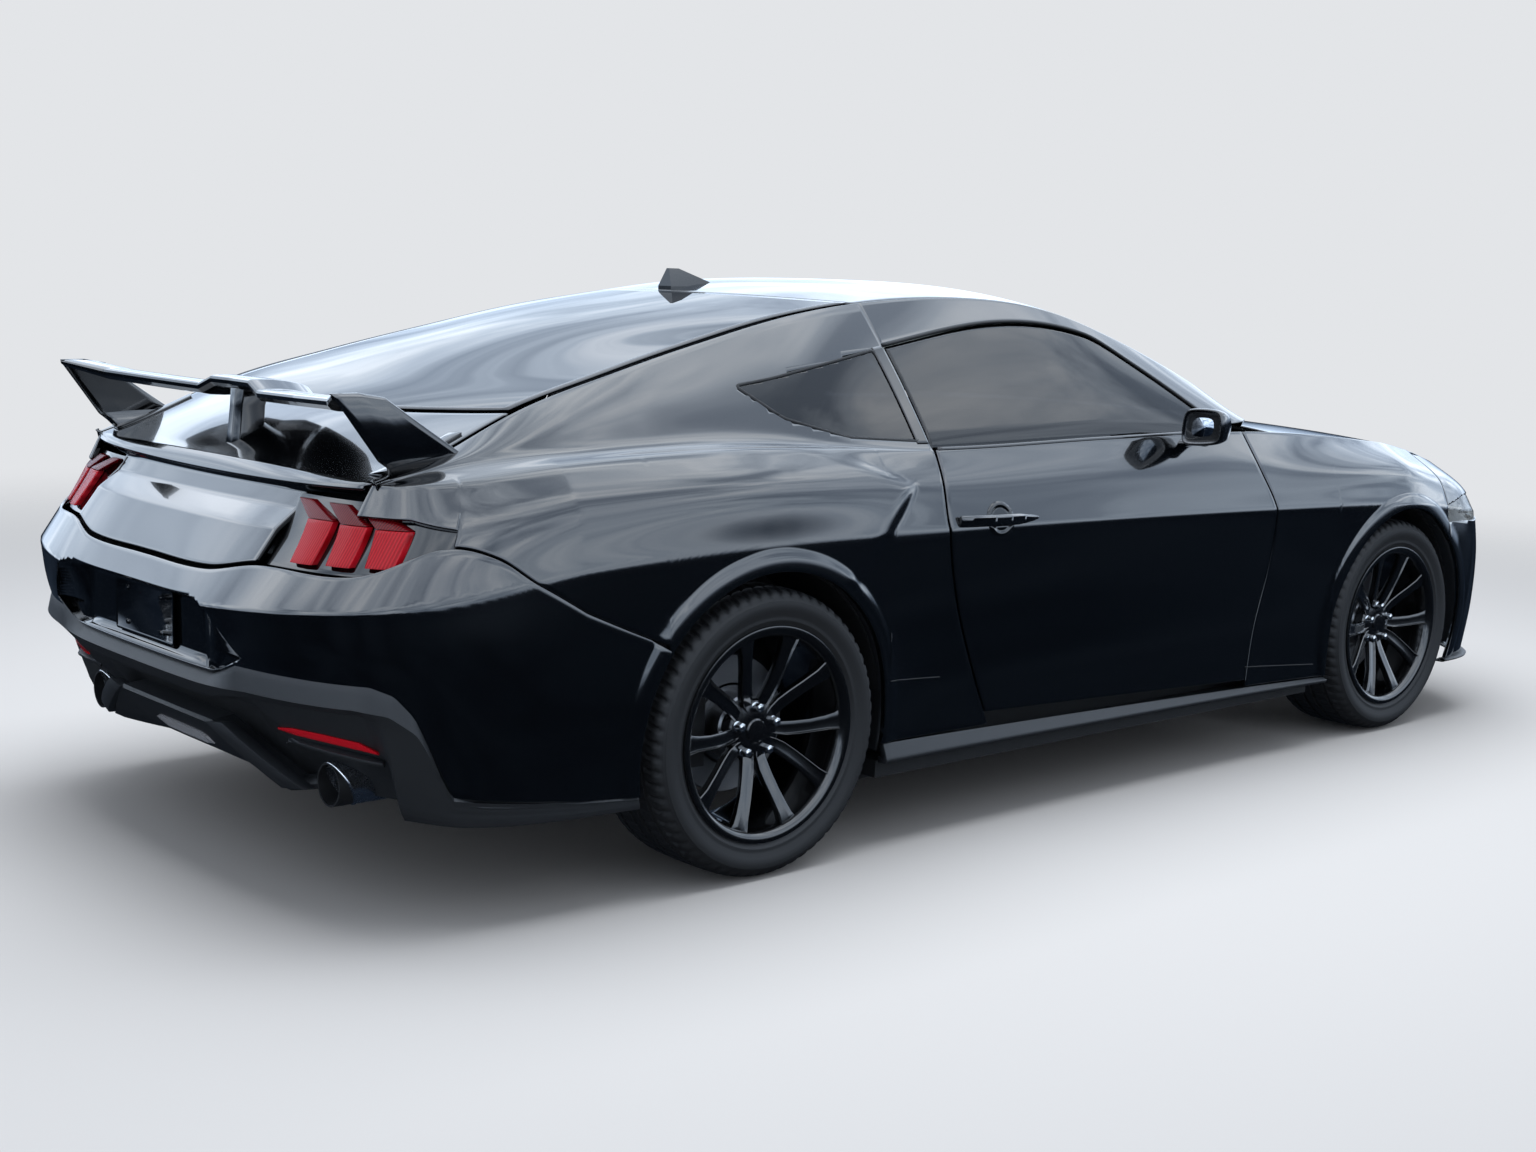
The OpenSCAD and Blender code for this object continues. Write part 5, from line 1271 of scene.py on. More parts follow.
# Exhaust: welded stainless pipes and muffler, and a polished tip a side with a rolled, slanted mouth.
# Stainless steel, polished at the tips: mirror with fine drawing marks along it
polished_steel, tree, shader = finish("polished stainless steel", "#d5d8dc", 0.25, 1.0)
grain(tree, shader, 260, 0.00004, (0.2, 0.32))
dress("exhaust", coated_steel)
tip_back, tip_y, tip_z = axle_rear - 950, 590, 290
tip_outline = [(-2, 46.5), (0, 49.5), (4, 51), (9, 50), (14, 49), (215, 49), (215, 43.4), (12, 43.4), (4, 43.6), (0, 44.5)]
bm = bmesh.new()
turned(bm, tip_outline, 72)
bmesh.ops.rotate(bm, cent=(0, 0, 0), matrix=Matrix.Rotation(-math.pi / 2, 3, "Z"), verts=bm.verts)
for v in bm.verts:
    v.co += Vector((max(0, 1 - abs(v.co.x) / 215) * (51 + v.co.z * -1) * 0.5, 0, 0)) if abs(v.co.x) < 190 else Vector()
bmesh.ops.translate(bm, vec=(tip_back, tip_y, tip_z), verts=bm.verts)
bmesh.ops.recalc_face_normals(bm, faces=bm.faces)
both_sides(bm)
piece("exhaust_tips", metres(bm), polished_steel, "chassis", "polished_steel")

# Rear wing: a moulded blade, painted with the body, on a middle post and two end plates. Its feet are
# screwed to the lid through black strips.
wing_stations = [(0, -875, 6), (95, -880, 6), (150, -886, -14), (360, -908, -10), (565, -938, -4), (690, -998, 16)]
wing_foot = top_point(axle_rear - 790, 0.97).z
wing_high = wing_foot + 132
# Section of the blade from its rear edge round the top and back under: share of the chord, height
blade_section = [(0.0, 0), (0.012, 5), (0.05, 7.5), (0.18, 8.5), (0.4, 8), (0.62, 4.5), (0.8, -0.5), (0.93, -6), (1.0, -12),
                 (0.985, -18), (0.9, -22), (0.7, -24), (0.45, -24), (0.22, -22), (0.08, -18), (0.015, -9)]


def wing_at(y):
    """Rear edge, height and chord of the blade at a place across the car."""
    rows = wing_stations
    for a, b in zip(rows, rows[1:]):
        if abs(y) <= b[0] or b is rows[-1]:
            t = (abs(y) - a[0]) / (b[0] - a[0])
            back, high = lerp(a[1], b[1], t), wing_high + lerp(a[2], b[2], t)
            return axle_rear + back, high, lerp(160, 120, abs(y) / 690)


def kinks(step):
    """Places along the blade, with two close ones at each kink."""
    places = set(spread(0, 690, step))
    for y, _, _ in wing_stations[1:-1]:
        places |= {y - 5, y, y + 5}
    return sorted({-p for p in places} | places)


loops = []
for y in kinks(46):
    back, high, chord = wing_at(y)
    end = max(0, (abs(y) - 560) / 130) if abs(y) > 560 else 0
    loops.append([Vector((back + share * chord, y, high + up * (1 - 0.35 * end))) for share, up in blade_section])
bm = bmesh.new()
loft(bm, loops)
bmesh.ops.recalc_face_normals(bm, faces=bm.faces)
# End plates: swept from the blade's tip down and inboard to a long foot
tip_back, tip_high, tip_chord = wing_at(690)
for side in (1, -1):
    plate = [[(tip_back - 2, 690, tip_high + 5), (tip_back + 4, 700, tip_high - 2), (tip_back + 104, 712, wing_foot + 13),
              (tip_back + 128, 706, wing_foot - 4), (tip_back + 142, 694, wing_foot - 26)],
             [(tip_back + 60, 694, tip_high + 6), (tip_back + 64, 705, tip_high - 2), (tip_back + 180, 716, wing_foot + 18),
              (tip_back + 205, 710, wing_foot + 0), (tip_back + 216, 696, wing_foot - 22)],
             [(tip_back + tip_chord, 700, tip_high - 4), (tip_back + tip_chord + 6, 708, tip_high - 12),
              (tip_back + 300, 718, wing_foot + 21), (tip_back + 318, 712, wing_foot + 8), (tip_back + 322, 698, wing_foot - 14)]]
    outer = [[Vector((x, y * side, z)) for x, y, z in row] for row in plate]
    rows = []
    for t in spread(0, 2, 8):
        i = min(int(t), 1)
        rows.append([lerp(a, b, t - i) for a, b in zip(outer[i], outer[i + 1])])
    loops = []
    for row in rows:
        inner = [p - Vector((0, (9 + 10 * k / 4) * side, 0)) for k, p in enumerate(row)]
        loops.append(row + inner[::-1])
    sub = bmesh.new()
    loft(sub, loops)
    bmesh.ops.recalc_face_normals(sub, faces=sub.faces)
    bmesh.ops.bevel(sub, geom=[e for e in sub.edges if e.calc_face_angle(0) > 0.6], offset=2.5, segments=2, profile=0.5,
                    affect="EDGES", material=-1)
    made = bpy.data.meshes.new("plate")
    sub.to_mesh(made)
    sub.free()
    bm.from_mesh(made)
    bpy.data.meshes.remove(made)
# Post: a tapered, streamlined mast
loops = []
for z, front, back, half in [(wing_foot - 16, -786, -884, 24), (wing_foot + 20, -790, -878, 21),
                             (wing_foot + 80, -786, -872, 20), (wing_high - 10, -772, -868, 24)]:
    loops.append([Vector((axle_rear + front, 0, z)), Vector((axle_rear + front - 12, half, z)),
                  Vector((axle_rear + back + 16, half, z)), Vector((axle_rear + back, half * 0.6, z)),
                  Vector((axle_rear + back, -half * 0.6, z)), Vector((axle_rear + back + 16, -half, z)),
                  Vector((axle_rear + front - 12, -half, z))])
sub = bmesh.new()
loft(sub, loops)
bmesh.ops.recalc_face_normals(sub, faces=sub.faces)
bmesh.ops.bevel(sub, geom=[e for e in sub.edges if e.calc_face_angle(0) > 0.4], offset=3, segments=3, profile=0.5,
                affect="EDGES", material=-1)
made = bpy.data.meshes.new("post")
sub.to_mesh(made)
sub.free()
bm.from_mesh(made)
bpy.data.meshes.remove(made)
sharpen(piece("rear_wing_blade", metres(bm), black_paint, "deck", "black_paint", "rear_wing"), 26)
# Foot strips: soft black polymer between the wing and the paint
bm = bmesh.new()
for side in (1, -1):
    loops = []
    for x in spread(axle_rear - 868, axle_rear - 652, 12):
        p = top_point(x, 0.955 * side)
        q = top_point(x, 0.905 * side)
        loops.append([q + Vector((0, 0, -2)), q + Vector((0, 0, 5)), p + Vector((0, 0, 7)), p + Vector((0, 0, -2))])
    loft(bm, loops)
bmesh.ops.recalc_face_normals(bm, faces=bm.faces)
bmesh.ops.bevel(bm, geom=[e for e in bm.edges if e.calc_face_angle(0) > 0.7], offset=2, segments=2, profile=0.5,
                affect="EDGES", material=-1)
sharpen(piece("wing_foot_strips", metres(bm), gloss_black, "deck", "gloss_black_plastic"), 30)

# Side glass: toughened, filmed, about 4 mm thick. The door panes have no frame and meet the rail's seal;
# the panes behind them are bonded in their openings.
door_glass_places = spread(door_spot(0, 1).x, door_spot(11 / 12, 1).x, 110)


def door_glass_spot(u, share):
    top = window_share(u, -4)
    low = min(1.1, top - 0.02)
    if share < 0.08:
        return lerp(side_point(u, 5) + Vector((0, -16, -6)), upper_point(u, low) + Vector((0, -5, 0)), share / 0.08)
    return upper_point(u, lerp(low, top, (share - 0.08) / 0.92)) + Vector((0, -5, 0))


for side, name in ((1, "left"), (-1, "right")):
    bm = panel(door_glass_places, 25, door_glass_spot)
    bmesh.ops.scale(bm, vec=(1, side, 1), verts=bm.verts)
    if side < 0:
        bmesh.ops.reverse_faces(bm, faces=bm.faces)
    piece(f"door_glass_{name}_pane", metres(bm), dark_glass, f"door_{name}", "tinted_glass", f"door_glass_{name}", wall=0.004)


def shrunk(points, amount):
    """An outline drawn in towards its middle."""
    middle = Vector((sum(p[0] for p in points) / len(points), sum(p[1] for p in points) / len(points)))
    return [tuple(Vector(p) + (middle - Vector(p)).normalized() * amount) for p in points]


# Behind the door: the pane is cut from the cabin side's own surface by its outline
bm = panel(spread(axle_rear + 20, b_line - 6, 120), 60, lambda u, share: upper_point(u, lerp(0.9, 2, share)) - Vector((0, 1.5, 0)))
metres(bm)
quarter_pane = piece("quarter_window_panes", bm, dark_glass, "chassis", "tinted_glass", "quarter_windows", wall=0.004)
cutter = side_opening(shrunk(window_outline, 1.2), 13, 450, 1050)
metres(cutter)
mesh = bpy.data.meshes.new("keeper")
cutter.to_mesh(mesh)
cutter.free()
keeper = bpy.data.objects.new("keeper", mesh)
bpy.context.scene.collection.objects.link(keeper)
keep = quarter_pane.modifiers.new("outline", "BOOLEAN")
keep.operation, keep.solver, keep.object = "INTERSECT", "EXACT", keeper
shaped = bpy.data.meshes.new_from_object(quarter_pane.evaluated_get(bpy.context.evaluated_depsgraph_get()))
quarter_pane.modifiers.clear()
quarter_pane.data = shaped
bpy.data.objects.remove(keeper)
bpy.data.meshes.remove(mesh)
bm = bmesh.new()
bm.from_mesh(shaped)
both_sides(bm)
bm.to_mesh(shaped)
bm.free()

# Seals and trims: extruded rubber round each opening, with a satin black strip along the belt.
# EPDM rubber: matt black, very fine skin
rubber_seal, tree, shader = finish("extruded EPDM rubber", "#0d0e10", 0.55)
grain(tree, shader, 1400, 0.00005, (0.48, 0.62))


def strip(bm, points, wide, high, out=Vector((0, 1, 0))):
    """A slim strip of rounded section along a line of points."""
    loops = []
    last = len(points) - 1
    for i, p in enumerate(points):
        ahead_of, behind = points[min(i + 1, last)], points[max(i - 1, 0)]
        along_it = (ahead_of - behind).normalized()
        up = out.cross(along_it).normalized()
        proud = along_it.cross(up).normalized()
        loops.append([p + proud * (high * a) + up * (wide * b) for a, b in
                      ((-0.6, -0.5), (0.35, -0.5), (0.8, -0.28), (1, 0), (0.8, 0.28), (0.35, 0.5), (-0.6, 0.5))])
    if math.copysign(1, loops[0][0].y) < 0:
        loops = [loop[::-1] for loop in loops]
    loft(bm, loops)


bm = bmesh.new()
# Round the quarter window
corners = shrunk(window_outline, -1.5)
ring = []
rounded = side_opening(corners, 14, 0, 1)
loop = [v.co.copy() for v in rounded.verts if abs(v.co.y) < 0.5]
rounded.free()
centre = sum(loop, Vector()) / len(loop)
loop.sort(key=lambda p: math.atan2(p.z - centre.z, p.x - centre.x))
dense = []
for a, b in zip(loop, loop[1:] + loop[:1]):
    count = max(1, int((b - a).length / 12))
    dense += [lerp(a, b, i / count) for i in range(count)]


def on_upper(x, z):
    """Point of the cabin's side at a place in the side view."""
    low, high = 0.4, 2.0
    for _ in range(20):
        mid = (low + high) / 2
        if upper_point(x, mid).z < z:
            low = mid
        else:
            high = mid
    return upper_point(x, low)


ring = [on_upper(p.x, p.z) + Vector((0, -1.5, 0)) for p in dense]
strip(bm, ring + ring[:1], 9, 3.2)
# Under the rail, over the door's pane
strip(bm, [upper_point(u, window_share(u, 2)) + Vector((0, -2, 0)) for u in spread(b_line, bay(0.9), 90)], 9, 4)
both_sides(bm)
bmesh.ops.remove_doubles(bm, verts=bm.verts, dist=0.01)
bmesh.ops.recalc_face_normals(bm, faces=bm.faces)
piece("window_seals", metres(bm), rubber_seal, "chassis", "textured_plastic")
for side, name in ((1, "left"), (-1, "right")):
    bm = bmesh.new()
    strip(bm, [side_point(u, 5) + Vector((0, -6, 2)) for u in spread(door_spot(0.005, 1).x, door_spot(0.93, 1).x, 80)], 14, 6)
    bmesh.ops.scale(bm, vec=(1, side, 1), verts=bm.verts)
    bmesh.ops.recalc_face_normals(bm, faces=bm.faces)
    piece(f"belt_strip_{name}", metres(bm), gloss_black, f"door_{name}", "gloss_black_plastic")

# Door mirrors: a painted shell on a short arm from the door's shoulder, with a silvered glass behind.
# Silvered glass: a true mirror, a touch blue
silvered, tree, shader = finish("silvered mirror glass", "#aeb6bf", 0.02, 1.0)
grain(tree, shader, 30, 0.00001)
mirror_x = bay(0.736)
# Corners of the shell's cage at its rear rim and its nose: across the car and height
rear_rim = [(886, 962), (1026, 974), (1026, 1072), (896, 1070)]
nose_rim = [(912, 976), (988, 988), (992, 1042), (922, 1044)]
for side, name in ((1, "left"), (-1, "right")):
    bm = bmesh.new()
    loops = []
    for x, share, swell in [(-62, 0, 1.0), (-54, 0, 1.045), (-30, 0.12, 1.05), (0, 0.42, 1.05), (24, 0.8, 1.02), (38, 1, 0.72)]:
        ring = [Vector((0, *lerp(Vector(a), Vector(b), share))) for a, b in zip(rear_rim, nose_rim)]
        ring = [lerp(a, b, t) for a, b in zip(ring, ring[1:] + ring[:1]) for t in (0.14, 0.86)]
        middle = sum(ring, Vector()) / 8
        loops.append([Vector((mirror_x + x, (middle + (p - middle) * swell).y, (middle + (p - middle) * swell).z)) for p in ring])
    loft(bm, loops)
    bmesh.ops.recalc_face_normals(bm, faces=bm.faces)
    back = [f for f in bm.faces if f.normal.x < -0.9 and f.calc_center_median().x < mirror_x - 60]
    bmesh.ops.inset_region(bm, faces=back, thickness=7, depth=0)
    bmesh.ops.inset_region(bm, faces=back, thickness=1.5, depth=-7)
    bmesh.ops.scale(bm, vec=(1, side, 1), verts=bm.verts)
    bmesh.ops.recalc_face_normals(bm, faces=bm.faces)
    shell = piece(f"mirror_{name}_shell", metres(bm), black_paint, f"door_{name}", "black_paint", f"mirror_{name}")
    rounder = shell.modifiers.new("rounding", "SUBSURF")
    rounder.levels = rounder.render_levels = 3
    bm = bmesh.new()
    bm.faces.new([bm.verts.new((mirror_x - 56, y, z)) for y, z in [(896, 972), (1016, 983), (1016, 1062), (905, 1060)]])
    bmesh.ops.bevel(bm, geom=bm.verts[:], offset=24, segments=8, profile=0.5, affect="VERTICES", material=-1)
    bmesh.ops.scale(bm, vec=(1, side, 1), verts=bm.verts)
    bmesh.ops.recalc_face_normals(bm, faces=bm.faces)
    bm.normal_update()
    if bm.faces[0].normal.x > 0:
        bmesh.ops.reverse_faces(bm, faces=bm.faces)
    piece(f"mirror_{name}_glass", metres(bm), silvered, f"door_{name}", "polished_steel", wall=0.003)
    # Arm and its foot on the door's shoulder
    bm = bmesh.new()
    foot_v = step_of(mirror_x, 968)
    root = side_point(mirror_x, foot_v)
    loops = []
    for t, half, tall in [(0, 46, 15), (0.1, 40, 12), (0.35, 30, 9), (0.7, 28, 9), (1, 30, 11)]:
        y = lerp(root.y - 6, 930, t)
        z = lerp(root.z - 2, 972, t)
        loops.append([Vector((mirror_x + half * math.cos(a), y, z + tall * math.sin(a))) for a in spread(0, 2 * math.pi, 16)[:-1]])
    loft(bm, loops)
    bmesh.ops.scale(bm, vec=(1, side, 1), verts=bm.verts)
    bmesh.ops.recalc_face_normals(bm, faces=bm.faces)
    sharpen(piece(f"mirror_{name}_arm", metres(bm), gloss_black, f"door_{name}", "gloss_black_plastic"), 40)
    # Door handle: a pull strap over a finger cup
    bm = bmesh.new()
    handle_z, handle_front, handle_rear = 806, -315, -612
    loops = []
    for t in spread(0, 1, 28):
        x = lerp(handle_rear, handle_front, t)
        lift_out = 30 * math.sin(math.pi * min(1, max(0, (t + 0.06) / 1.12))) ** 0.45
        high = 15 if t < 0.72 else lerp(15, 5, (t - 0.72) / 0.28)
        base = side_point(x, step_of(x, handle_z))
        loops.append([base + Vector((0, lift_out * b - 4, high * a - 6 * t)) for a, b in
                      ((-0.8, 0.35), (-1, 0.75), (-0.6, 1), (0.6, 1.06), (1, 0.85), (0.8, 0.35))])
    loft(bm, loops)
    bmesh.ops.scale(bm, vec=(1, side, 1), verts=bm.verts)
    bmesh.ops.recalc_face_normals(bm, faces=bm.faces)
    bmesh.ops.bevel(bm, geom=[e for e in bm.edges if e.calc_face_angle(0) > 0.9], offset=2, segments=2, profile=0.5,
                    affect="EDGES", material=-1)
    sharpen(piece(f"door_handle_{name}", metres(bm), black_paint, f"door_{name}", "black_paint"), 40)
    bm = bmesh.new()
    bmesh.ops.create_grid(bm, x_segments=24, y_segments=24, size=1)
    for v in bm.verts:
        a, b = v.co.x, v.co.y
        a, b = a * math.sqrt(1 - b * b / 2), b * math.sqrt(1 - a * a / 2)
        x, z = -455 + 52 * a, handle_z - 3 + 45 * b
        base = side_point(x, step_of(x, z))
        r = math.hypot(a, b)
        v.co = base + Vector((0, 0.6 + 3.2 * max(0, 1 - ((r - 0.84) / 0.16) ** 2) if r > 0.68 else 0.5, 0))
    face_out(bm)
    bmesh.ops.scale(bm, vec=(1, side, 1), verts=bm.verts)
    if side < 0:
        bmesh.ops.reverse_faces(bm, faces=bm.faces)
    piece(f"handle_cup_{name}", metres(bm), gloss_black, f"door_{name}", "gloss_black_plastic")

# Wheelhouse liners: moulded felt-backed polypropylene shells that close each arch over its wheel.
liner_profile = [(-9, 387.5), (-22, 392), (-60, 400), (-110, 408), (-250, 412), (-420, 412)]
bm = bmesh.new()
for axle in (axle_front, axle_rear):
    angles, ring = spread(-14, 194, 60), []
    sub = panel(angles, len(liner_profile) - 1, lambda a, share: Vector((a, share, 0)))
    for v in sub.verts:
        angle, (inboard, radius) = math.radians(v.co.x), liner_profile[round(v.co.y * (len(liner_profile) - 1))]
        x, z = axle + radius * math.cos(angle), wheel_height + radius * math.sin(angle)
        edge_z = max(wheel_height + arch_radius * math.sin(angle), side_column(x)[0].z + 1)
        v.co = Vector((x, side_point(x, step_of(x, edge_z)).y + inboard, z))
    made = bpy.data.meshes.new("liner")
    sub.to_mesh(made)
    sub.free()
    bm.from_mesh(made)
    bpy.data.meshes.remove(made)
both_sides(bm)
piece("wheelhouse_liners", metres(bm), textured_plastic, "chassis", "textured_plastic", wall=0.0015)

# Head lamps: a dark tray a side with three slim light bars, under a clear hard-coated polycarbonate lens.
lamp_places = spread(nose_corner - 100, nose_place(0.56), 60)
head_rows = (head_low - 6, head_high + 6)
clear_lens, tree, shader = finish("clear hard-coated polycarbonate", "#dfe6ea", 0.02, Transmission_Weight=1.0, IOR=1.58)
bm = panel(lamp_places, 16, lambda u, share: stand_out(u, lerp(*head_rows, share), -4.5))
both_sides(bm)
piece("head_lamp_lenses", metres(bm), clear_lens, "chassis", "clear_lens", wall=0.0025)
bm = panel(lamp_places, 16, lambda u, share: stand_out(u, lerp(*head_rows, share), -34 if 0 < share < 1 else -9))
both_sides(bm)
piece("head_lamp_trays", metres(bm), gloss_black, "chassis", "gloss_black_plastic", "headlamps", wall=0.002)
bm = bmesh.new()
bars = 3
for k in range(bars):
    start, reach = lerp(nose_corner + 190, nose_corner + 560, k / bars), 72
    for z in (head_low + 22, head_low + 50):
        loops = []
        for u in spread(start, start + reach, 8):
            lean = (u - start) * 0.18
            loops.append([stand_out(u, z + lean, -16), stand_out(u, z + lean + 13, -16), stand_out(u, z + lean + 13, -36),
                          stand_out(u, z + lean, -36)])
        loft(bm, loops)
bmesh.ops.bevel(bm, geom=[e for e in bm.edges if e.calc_face_angle(0) > 0.9], offset=2, segments=2, profile=0.5,
                affect="EDGES", material=-1)
both_sides(bm)
bmesh.ops.recalc_face_normals(bm, faces=bm.faces)
sharpen(piece("head_lamp_bars", metres(bm), pale_lens, "chassis", "clear_lens"), 35)

# Grille and lower intake: the bars are the frame's own, of grained polypropylene. Behind them stands a
# fine black mesh over the radiator's face.
dress("grille", textured_plastic)
bm = bmesh.new()
mesh_pitch, wire = 26, 2.2
for low, high, half in ((560, 728, 470), (242, 420, 610)):
    for slope in (1, -1):
        for k in range(int((2 * half + high - low) / mesh_pitch)):
            start = -half - (high - low) / 2 + k * mesh_pitch + mesh_pitch / 2
            ends = []
            for z in (low, high):
                ends.append(Vector((nose - 172, (start + (z - low)) * slope, z)))
            a, b = ends
            if max(abs(a.y), abs(b.y)) > half:
                continue
            loft(bm, [[p + Vector((dx, dy, 0)) for dx, dy in ((-wire, 0), (0, wire), (wire, 0), (0, -wire))] for p in (a, b)])
bmesh.ops.recalc_face_normals(bm, faces=bm.faces)
piece("grille_mesh", metres(bm), gloss_black, "chassis", "textured_plastic", smooth=False)
# Radiator face: brazed aluminium fins, painted black, under 3 mm apart
fins, tree, shader = finish("black painted radiator fins", "#0c0d0f", 0.6)
place = add(tree, "ShaderNodeTexCoord")
rows = add(tree, "ShaderNodeTexWave", {"bands_direction": "Z"}, {"Scale": 70.0}, {"Vector": (place, "Object")})
fin_bump = add(tree, "ShaderNodeBump", values={"Distance": 0.001}, links={"Height": (rows, "Fac")})
tree.links.new(fin_bump.outputs["Normal"], shader.inputs["Normal"])
bm = panel(spread(-612, 612, 24), 12, lambda y, share: Vector((nose - 196, y, lerp(236, 736, share))))
roll_edges(bm, radius=4, depth=24)
piece("radiator_face", metres(bm), fins, "chassis", "textured_plastic", wall=0.002)

# Front splitter: a thin grained lip under the front cover, screwed to the undertray.
lip_places = spread(nose_corner - 20, nose_corner + nose_run, 60)
lip_profile = [(-30, -2), (10, -2), (20, 2), (22, 6), (18, 9), (-4, 11)]
bm = panel(lip_places, len(lip_profile) - 1, lambda u, share: stand_out(
    u, side_column(u)[0].z + 1, lip_profile[round(share * 5)][0]) + Vector((0, 0, lip_profile[round(share * 5)][1])))
round_tail(bm)
face_out(bm)
sharpen(piece("front_splitter", metres(bm), textured_plastic, "chassis", "textured_plastic", wall=0.002), 35)

# Roof antenna: a moulded fin on a rubber foot, the frame's own solid in gloss black.
dress("roof_antenna", gloss_black)

# High brake lamp: a narrow red lens behind the top of the rear window.
bm = bmesh.new()
loft(bm, [[top_point(x, y / 620) + Vector((0, 0, -8 - drop)) for x, drop in ((-905, 0), (-885, 0), (-885, 12), (-905, 12))]
          for y in spread(-185, 185, 24)])
bmesh.ops.recalc_face_normals(bm, faces=bm.faces)
sharpen(piece("high_brake_lamp", metres(bm), red_lens, "chassis", "red_lens"), 35)

# Wipers: two pressed arms with rubber blades, parked at the foot of the screen.
bm = bmesh.new()
for start, end in ((-0.1, -0.86), (0.76, 0.02)):
    blade = [top_point(lerp(screen_foot - 12, screen_foot - 40, s), lerp(start, end, s)) + Vector((0, 0, 9)) for s in spread(0, 1, 24)]
    strip(bm, blade, 9, 7, Vector((0.5, 0, 0.85)))
    arm = [top_point(lerp(screen_foot - 2, screen_foot - 26, s), lerp(start, lerp(start, end, 0.55), s)) + Vector((3, 0, lerp(12, 15, s)))
           for s in spread(0, 1, 14)]
    strip(bm, arm, 15, 5, Vector((0.5, 0, 0.85)))
bmesh.ops.recalc_face_normals(bm, faces=bm.faces)
piece("wipers", metres(bm), rubber_seal, "chassis", "textured_plastic")

# Pillar covers: gloss black strips over the post between the door's pane and the one behind it.
bm = panel(spread(b_line - 44, b_line - gap_edge - 0.6, 8), 30, lambda u, share: upper_point(
    u, lerp(1.03, window_share(u, 3), share)) + Vector((0, 2.2, 0.4)))
both_sides(bm)
piece("pillar_covers", metres(bm), gloss_black, "chassis", "gloss_black_plastic", wall=0.0015)

# Sill seams: the folds where fender and quarter panel meet the sill, sealed with black mastic.
bm = bmesh.new()
for (x0, z0), (x1, z1) in (((694, 290), (1036, 264)), ((-836, 424), (-640, 410))):
    strip(bm, [flared(side_point(x, step_of(x, lerp(z0, z1, (x - x0) / (x1 - x0))))) for x in spread(x0, x1, 24)], 3.2, 1.0)
both_sides(bm)
bmesh.ops.recalc_face_normals(bm, faces=bm.faces)
piece("sill_seams", metres(bm), rubber_seal, "chassis", "textured_plastic")

# Seats: foam cushions in stitched leather. Each front seat is one sports shell with bolsters and its head
# rest, and the bench behind has two dished places.
# Nappa leather: fine pebbled grain, about 2 mm across here so that it shows, with a soft sheen
seat_leather, tree, shader = finish("black nappa leather", "#1c1d20", 0.5, Sheen_Weight=0.15)
grain(tree, shader, 520, 0.0005, (0.42, 0.58), kind="VORONOI")


def around(points, step):
    """Evenly spaced points round a closed outline, with its corners rounded off."""
    dense = []
    for a, b in zip(points, points[1:] + points[:1]):
        a, b = Vector(a), Vector(b)
        count = max(1, round((b - a).length / step))
        dense += [lerp(a, b, i / count) for i in range(count)]
    for _ in range(6):
        dense = [(dense[i - 1] + dense[i] * 2 + dense[(i + 1) % len(dense)]) / 4 for i in range(len(dense))]
    return dense


def cushion(bm, profile, middle, half, narrow, dishes):
    """A crowned, padded form: the side profile, drawn in towards its ends and grooved at its seams."""
    rows = around(profile, 16)
    shares = [math.sin(math.pi / 2 * s) for s in spread(-1, 1, 44)]
    lengths, total = [0.0], 0.0
    for a, b in zip(rows, rows[1:]):
        total += (b - a).length
        lengths.append(total)
    loops = []
    for share in shares:
        loop = []
        for i, p in enumerate(rows):
            facing = rows[i - 1] - rows[(i + 1) % len(rows)]
            out = Vector((-facing.y, facing.x)).normalized()
            drawn = 20 * (1 - math.sqrt(max(0, 1 - share ** 4))) + 3
            for centre, wide, deep in dishes:
                away = abs(share - centre) / wide
                drawn += deep * max(0, 1 - away ** 2) + 5 * math.exp(-((away - 1) / 0.05) ** 2)
                if away < 0.94:
                    drawn += 2.2 * math.exp(-((lengths[i] % 62 - 31) / 4) ** 2)
            q = p - out * drawn
            loop.append(Vector((q.x, middle + half * share * narrow(q.y), q.y)))
        loops.append(loop)
    loft(bm, loops)
    bmesh.ops.recalc_face_normals(bm, faces=bm.faces)


def shoulder_taper(z):
    """How wide the seat is at a height: full up to the shoulders, then narrow for the head rest."""
    return 1 - 0.26 * max(0, min(1, (z - 690) / 120)) - 0.24 * max(0, min(1, (z - 850) / 50))


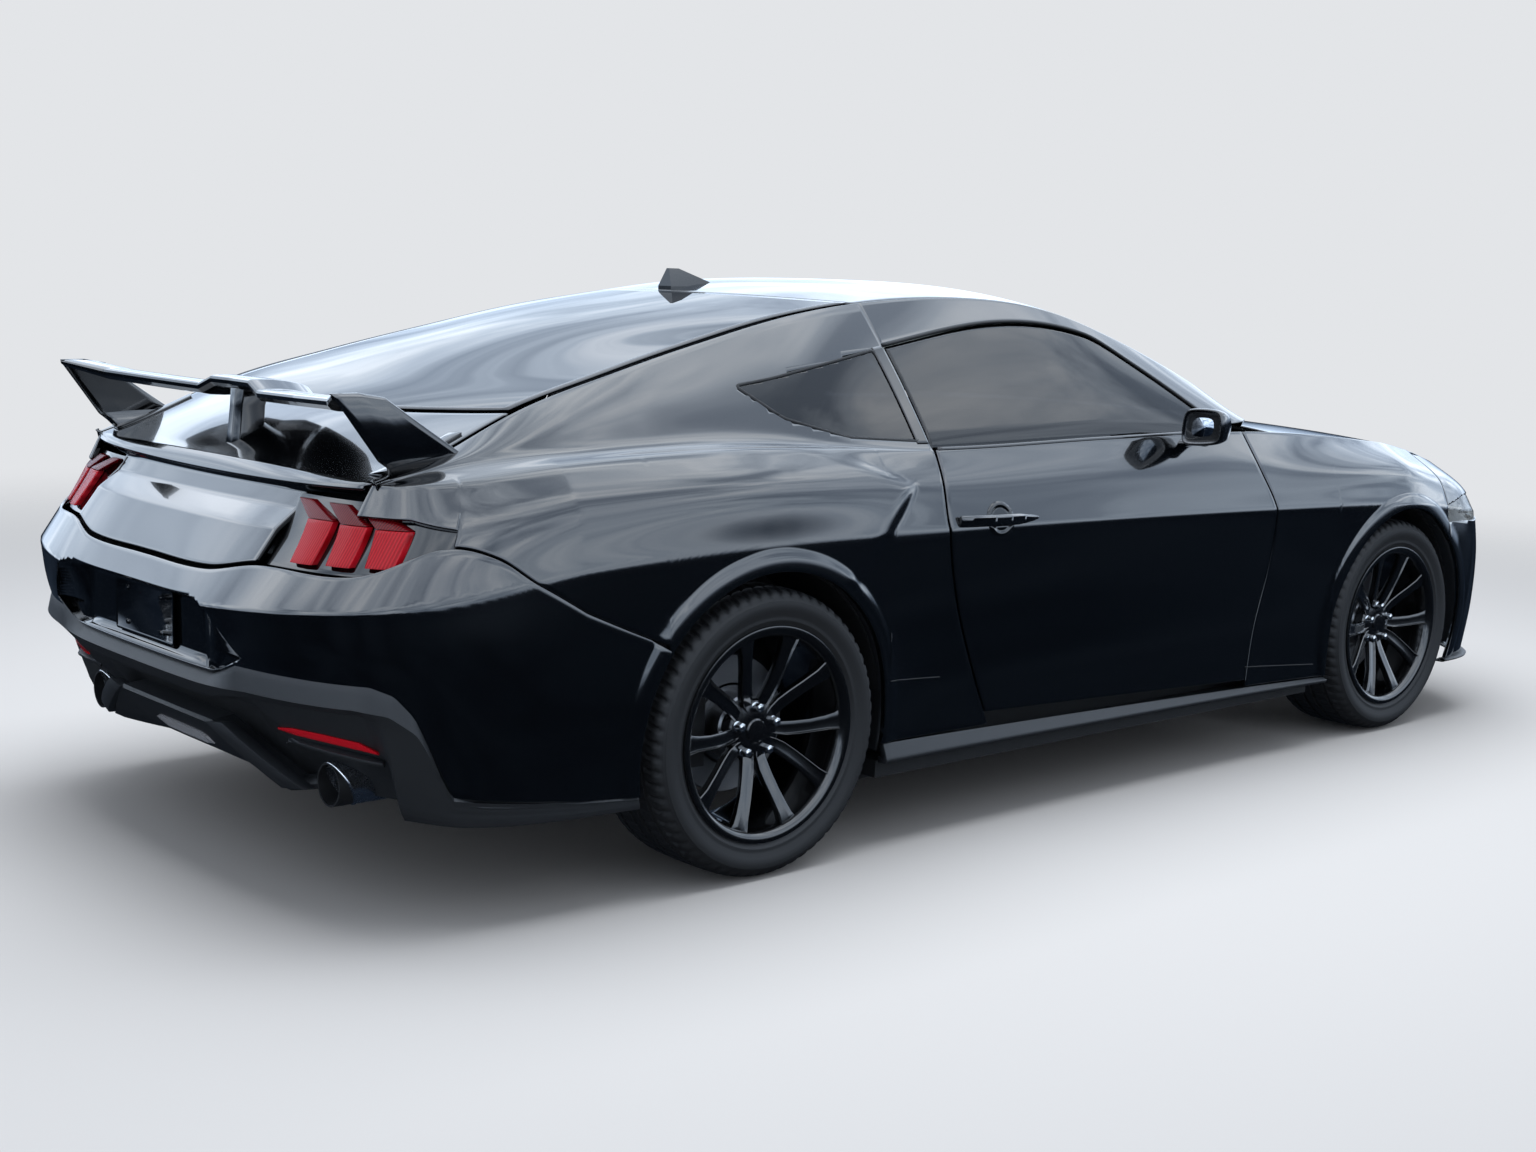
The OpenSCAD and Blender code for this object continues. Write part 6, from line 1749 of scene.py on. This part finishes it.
seat_x = bay(0.44) + 25
front_profile = [(-330, 190), (190, 190), (215, 330), (190, 370), (-120, 330), (-230, 345), (-420, 860), (-470, 1010),
                 (-530, 1030), (-545, 960), (-430, 420)]
bench_back = axle_rear + 180
bench_profile = [(16, 402), (480, 402), (480, 470), (170, 440), (80, 500), (40, 850), (4, 880)]
for name, points, start, middle, half, narrow, dishes in (
        ("front_seat_left", front_profile, seat_x, 385, 222, shoulder_taper, [(0, 0.56, 9)]),
        ("front_seat_right", front_profile, seat_x, -385, 222, shoulder_taper, [(0, 0.56, 9)]),
        ("rear_bench", bench_profile, bench_back, 0, 545, lambda z: 1 - 0.08 * max(0, (z - 500) / 380), [(-0.52, 0.4, 9), (0.52, 0.4, 9)])):
    bm = bmesh.new()
    cushion(bm, [(start + x, z) for x, z in points], middle, half, narrow, dishes)
    made = piece(name, metres(bm), seat_leather, "chassis", "seat_leather", "seats")
# Seat bases: pressed steel boxes on their runners
bm = bmesh.new()
for low, high in (((seat_x - 300, 180, 169), (seat_x + 150, 590, 196)), ((bench_back + 150, 155, 169), (bench_back + 440, 550, 404))):
    size = [b - a for a, b in zip(low, high)]
    bmesh.ops.create_cube(bm, size=1, matrix=Matrix.Translation([(a + b) / 2 for a, b in zip(low, high)]) @ Matrix.Diagonal((*size, 1)))
bmesh.ops.bevel(bm, geom=bm.edges[:], offset=6, segments=2, profile=0.5, affect="EDGES", material=-1)
both_sides(bm)
sharpen(piece("seat_bases", metres(bm), coated_steel, "chassis", "chassis_steel"), 30)

# Dashboard and steering wheel: the frame's own forms, foam-backed vinyl on the board and leather on the rim.
# Slush-moulded vinyl: coarse hide grain of about 3 mm, nearly matt
vinyl, tree, shader = finish("slush-moulded vinyl", "#17181a", 0.6)
grain(tree, shader, 380, 0.0004, (0.5, 0.68), kind="VORONOI")
dress("dashboard", vinyl)
dress("steering_wheel", seat_leather)

# Door boards: vinyl trim over each door's frame, closed to the skin round its edge, with an arm rest.


def board_spot(a, b):
    rim = a in (0, 1) or b in (0, 1)
    near, far = lerp(0.03, 0.97, a), lerp(0.03, 0.985, b)
    rest = 34 * math.exp(-((b - 0.56) / 0.05) ** 4) * max(0, min(1, (a - 0.12) / 0.1, (0.8 - a) / 0.1))
    return door_spot(near, far, 6) - Vector((0, 14 if rim else 58 + rest, 0))


for side, name in ((1, "left"), (-1, "right")):
    bm = panel(spread(0, 1, 50), 50, board_spot)
    bmesh.ops.scale(bm, vec=(1, side, 1), verts=bm.verts)
    bm.normal_update()
    if sum(f.normal.y * side * f.calc_area() for f in bm.faces) > 0:
        bmesh.ops.reverse_faces(bm, faces=bm.faces)
    sharpen(piece(f"door_board_{name}", metres(bm), vinyl, f"door_{name}", "cabin_plastic", wall=0.002), 40)

# The visual model's box: the bounds of its shown pieces, the backdrop left out
low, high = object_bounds()
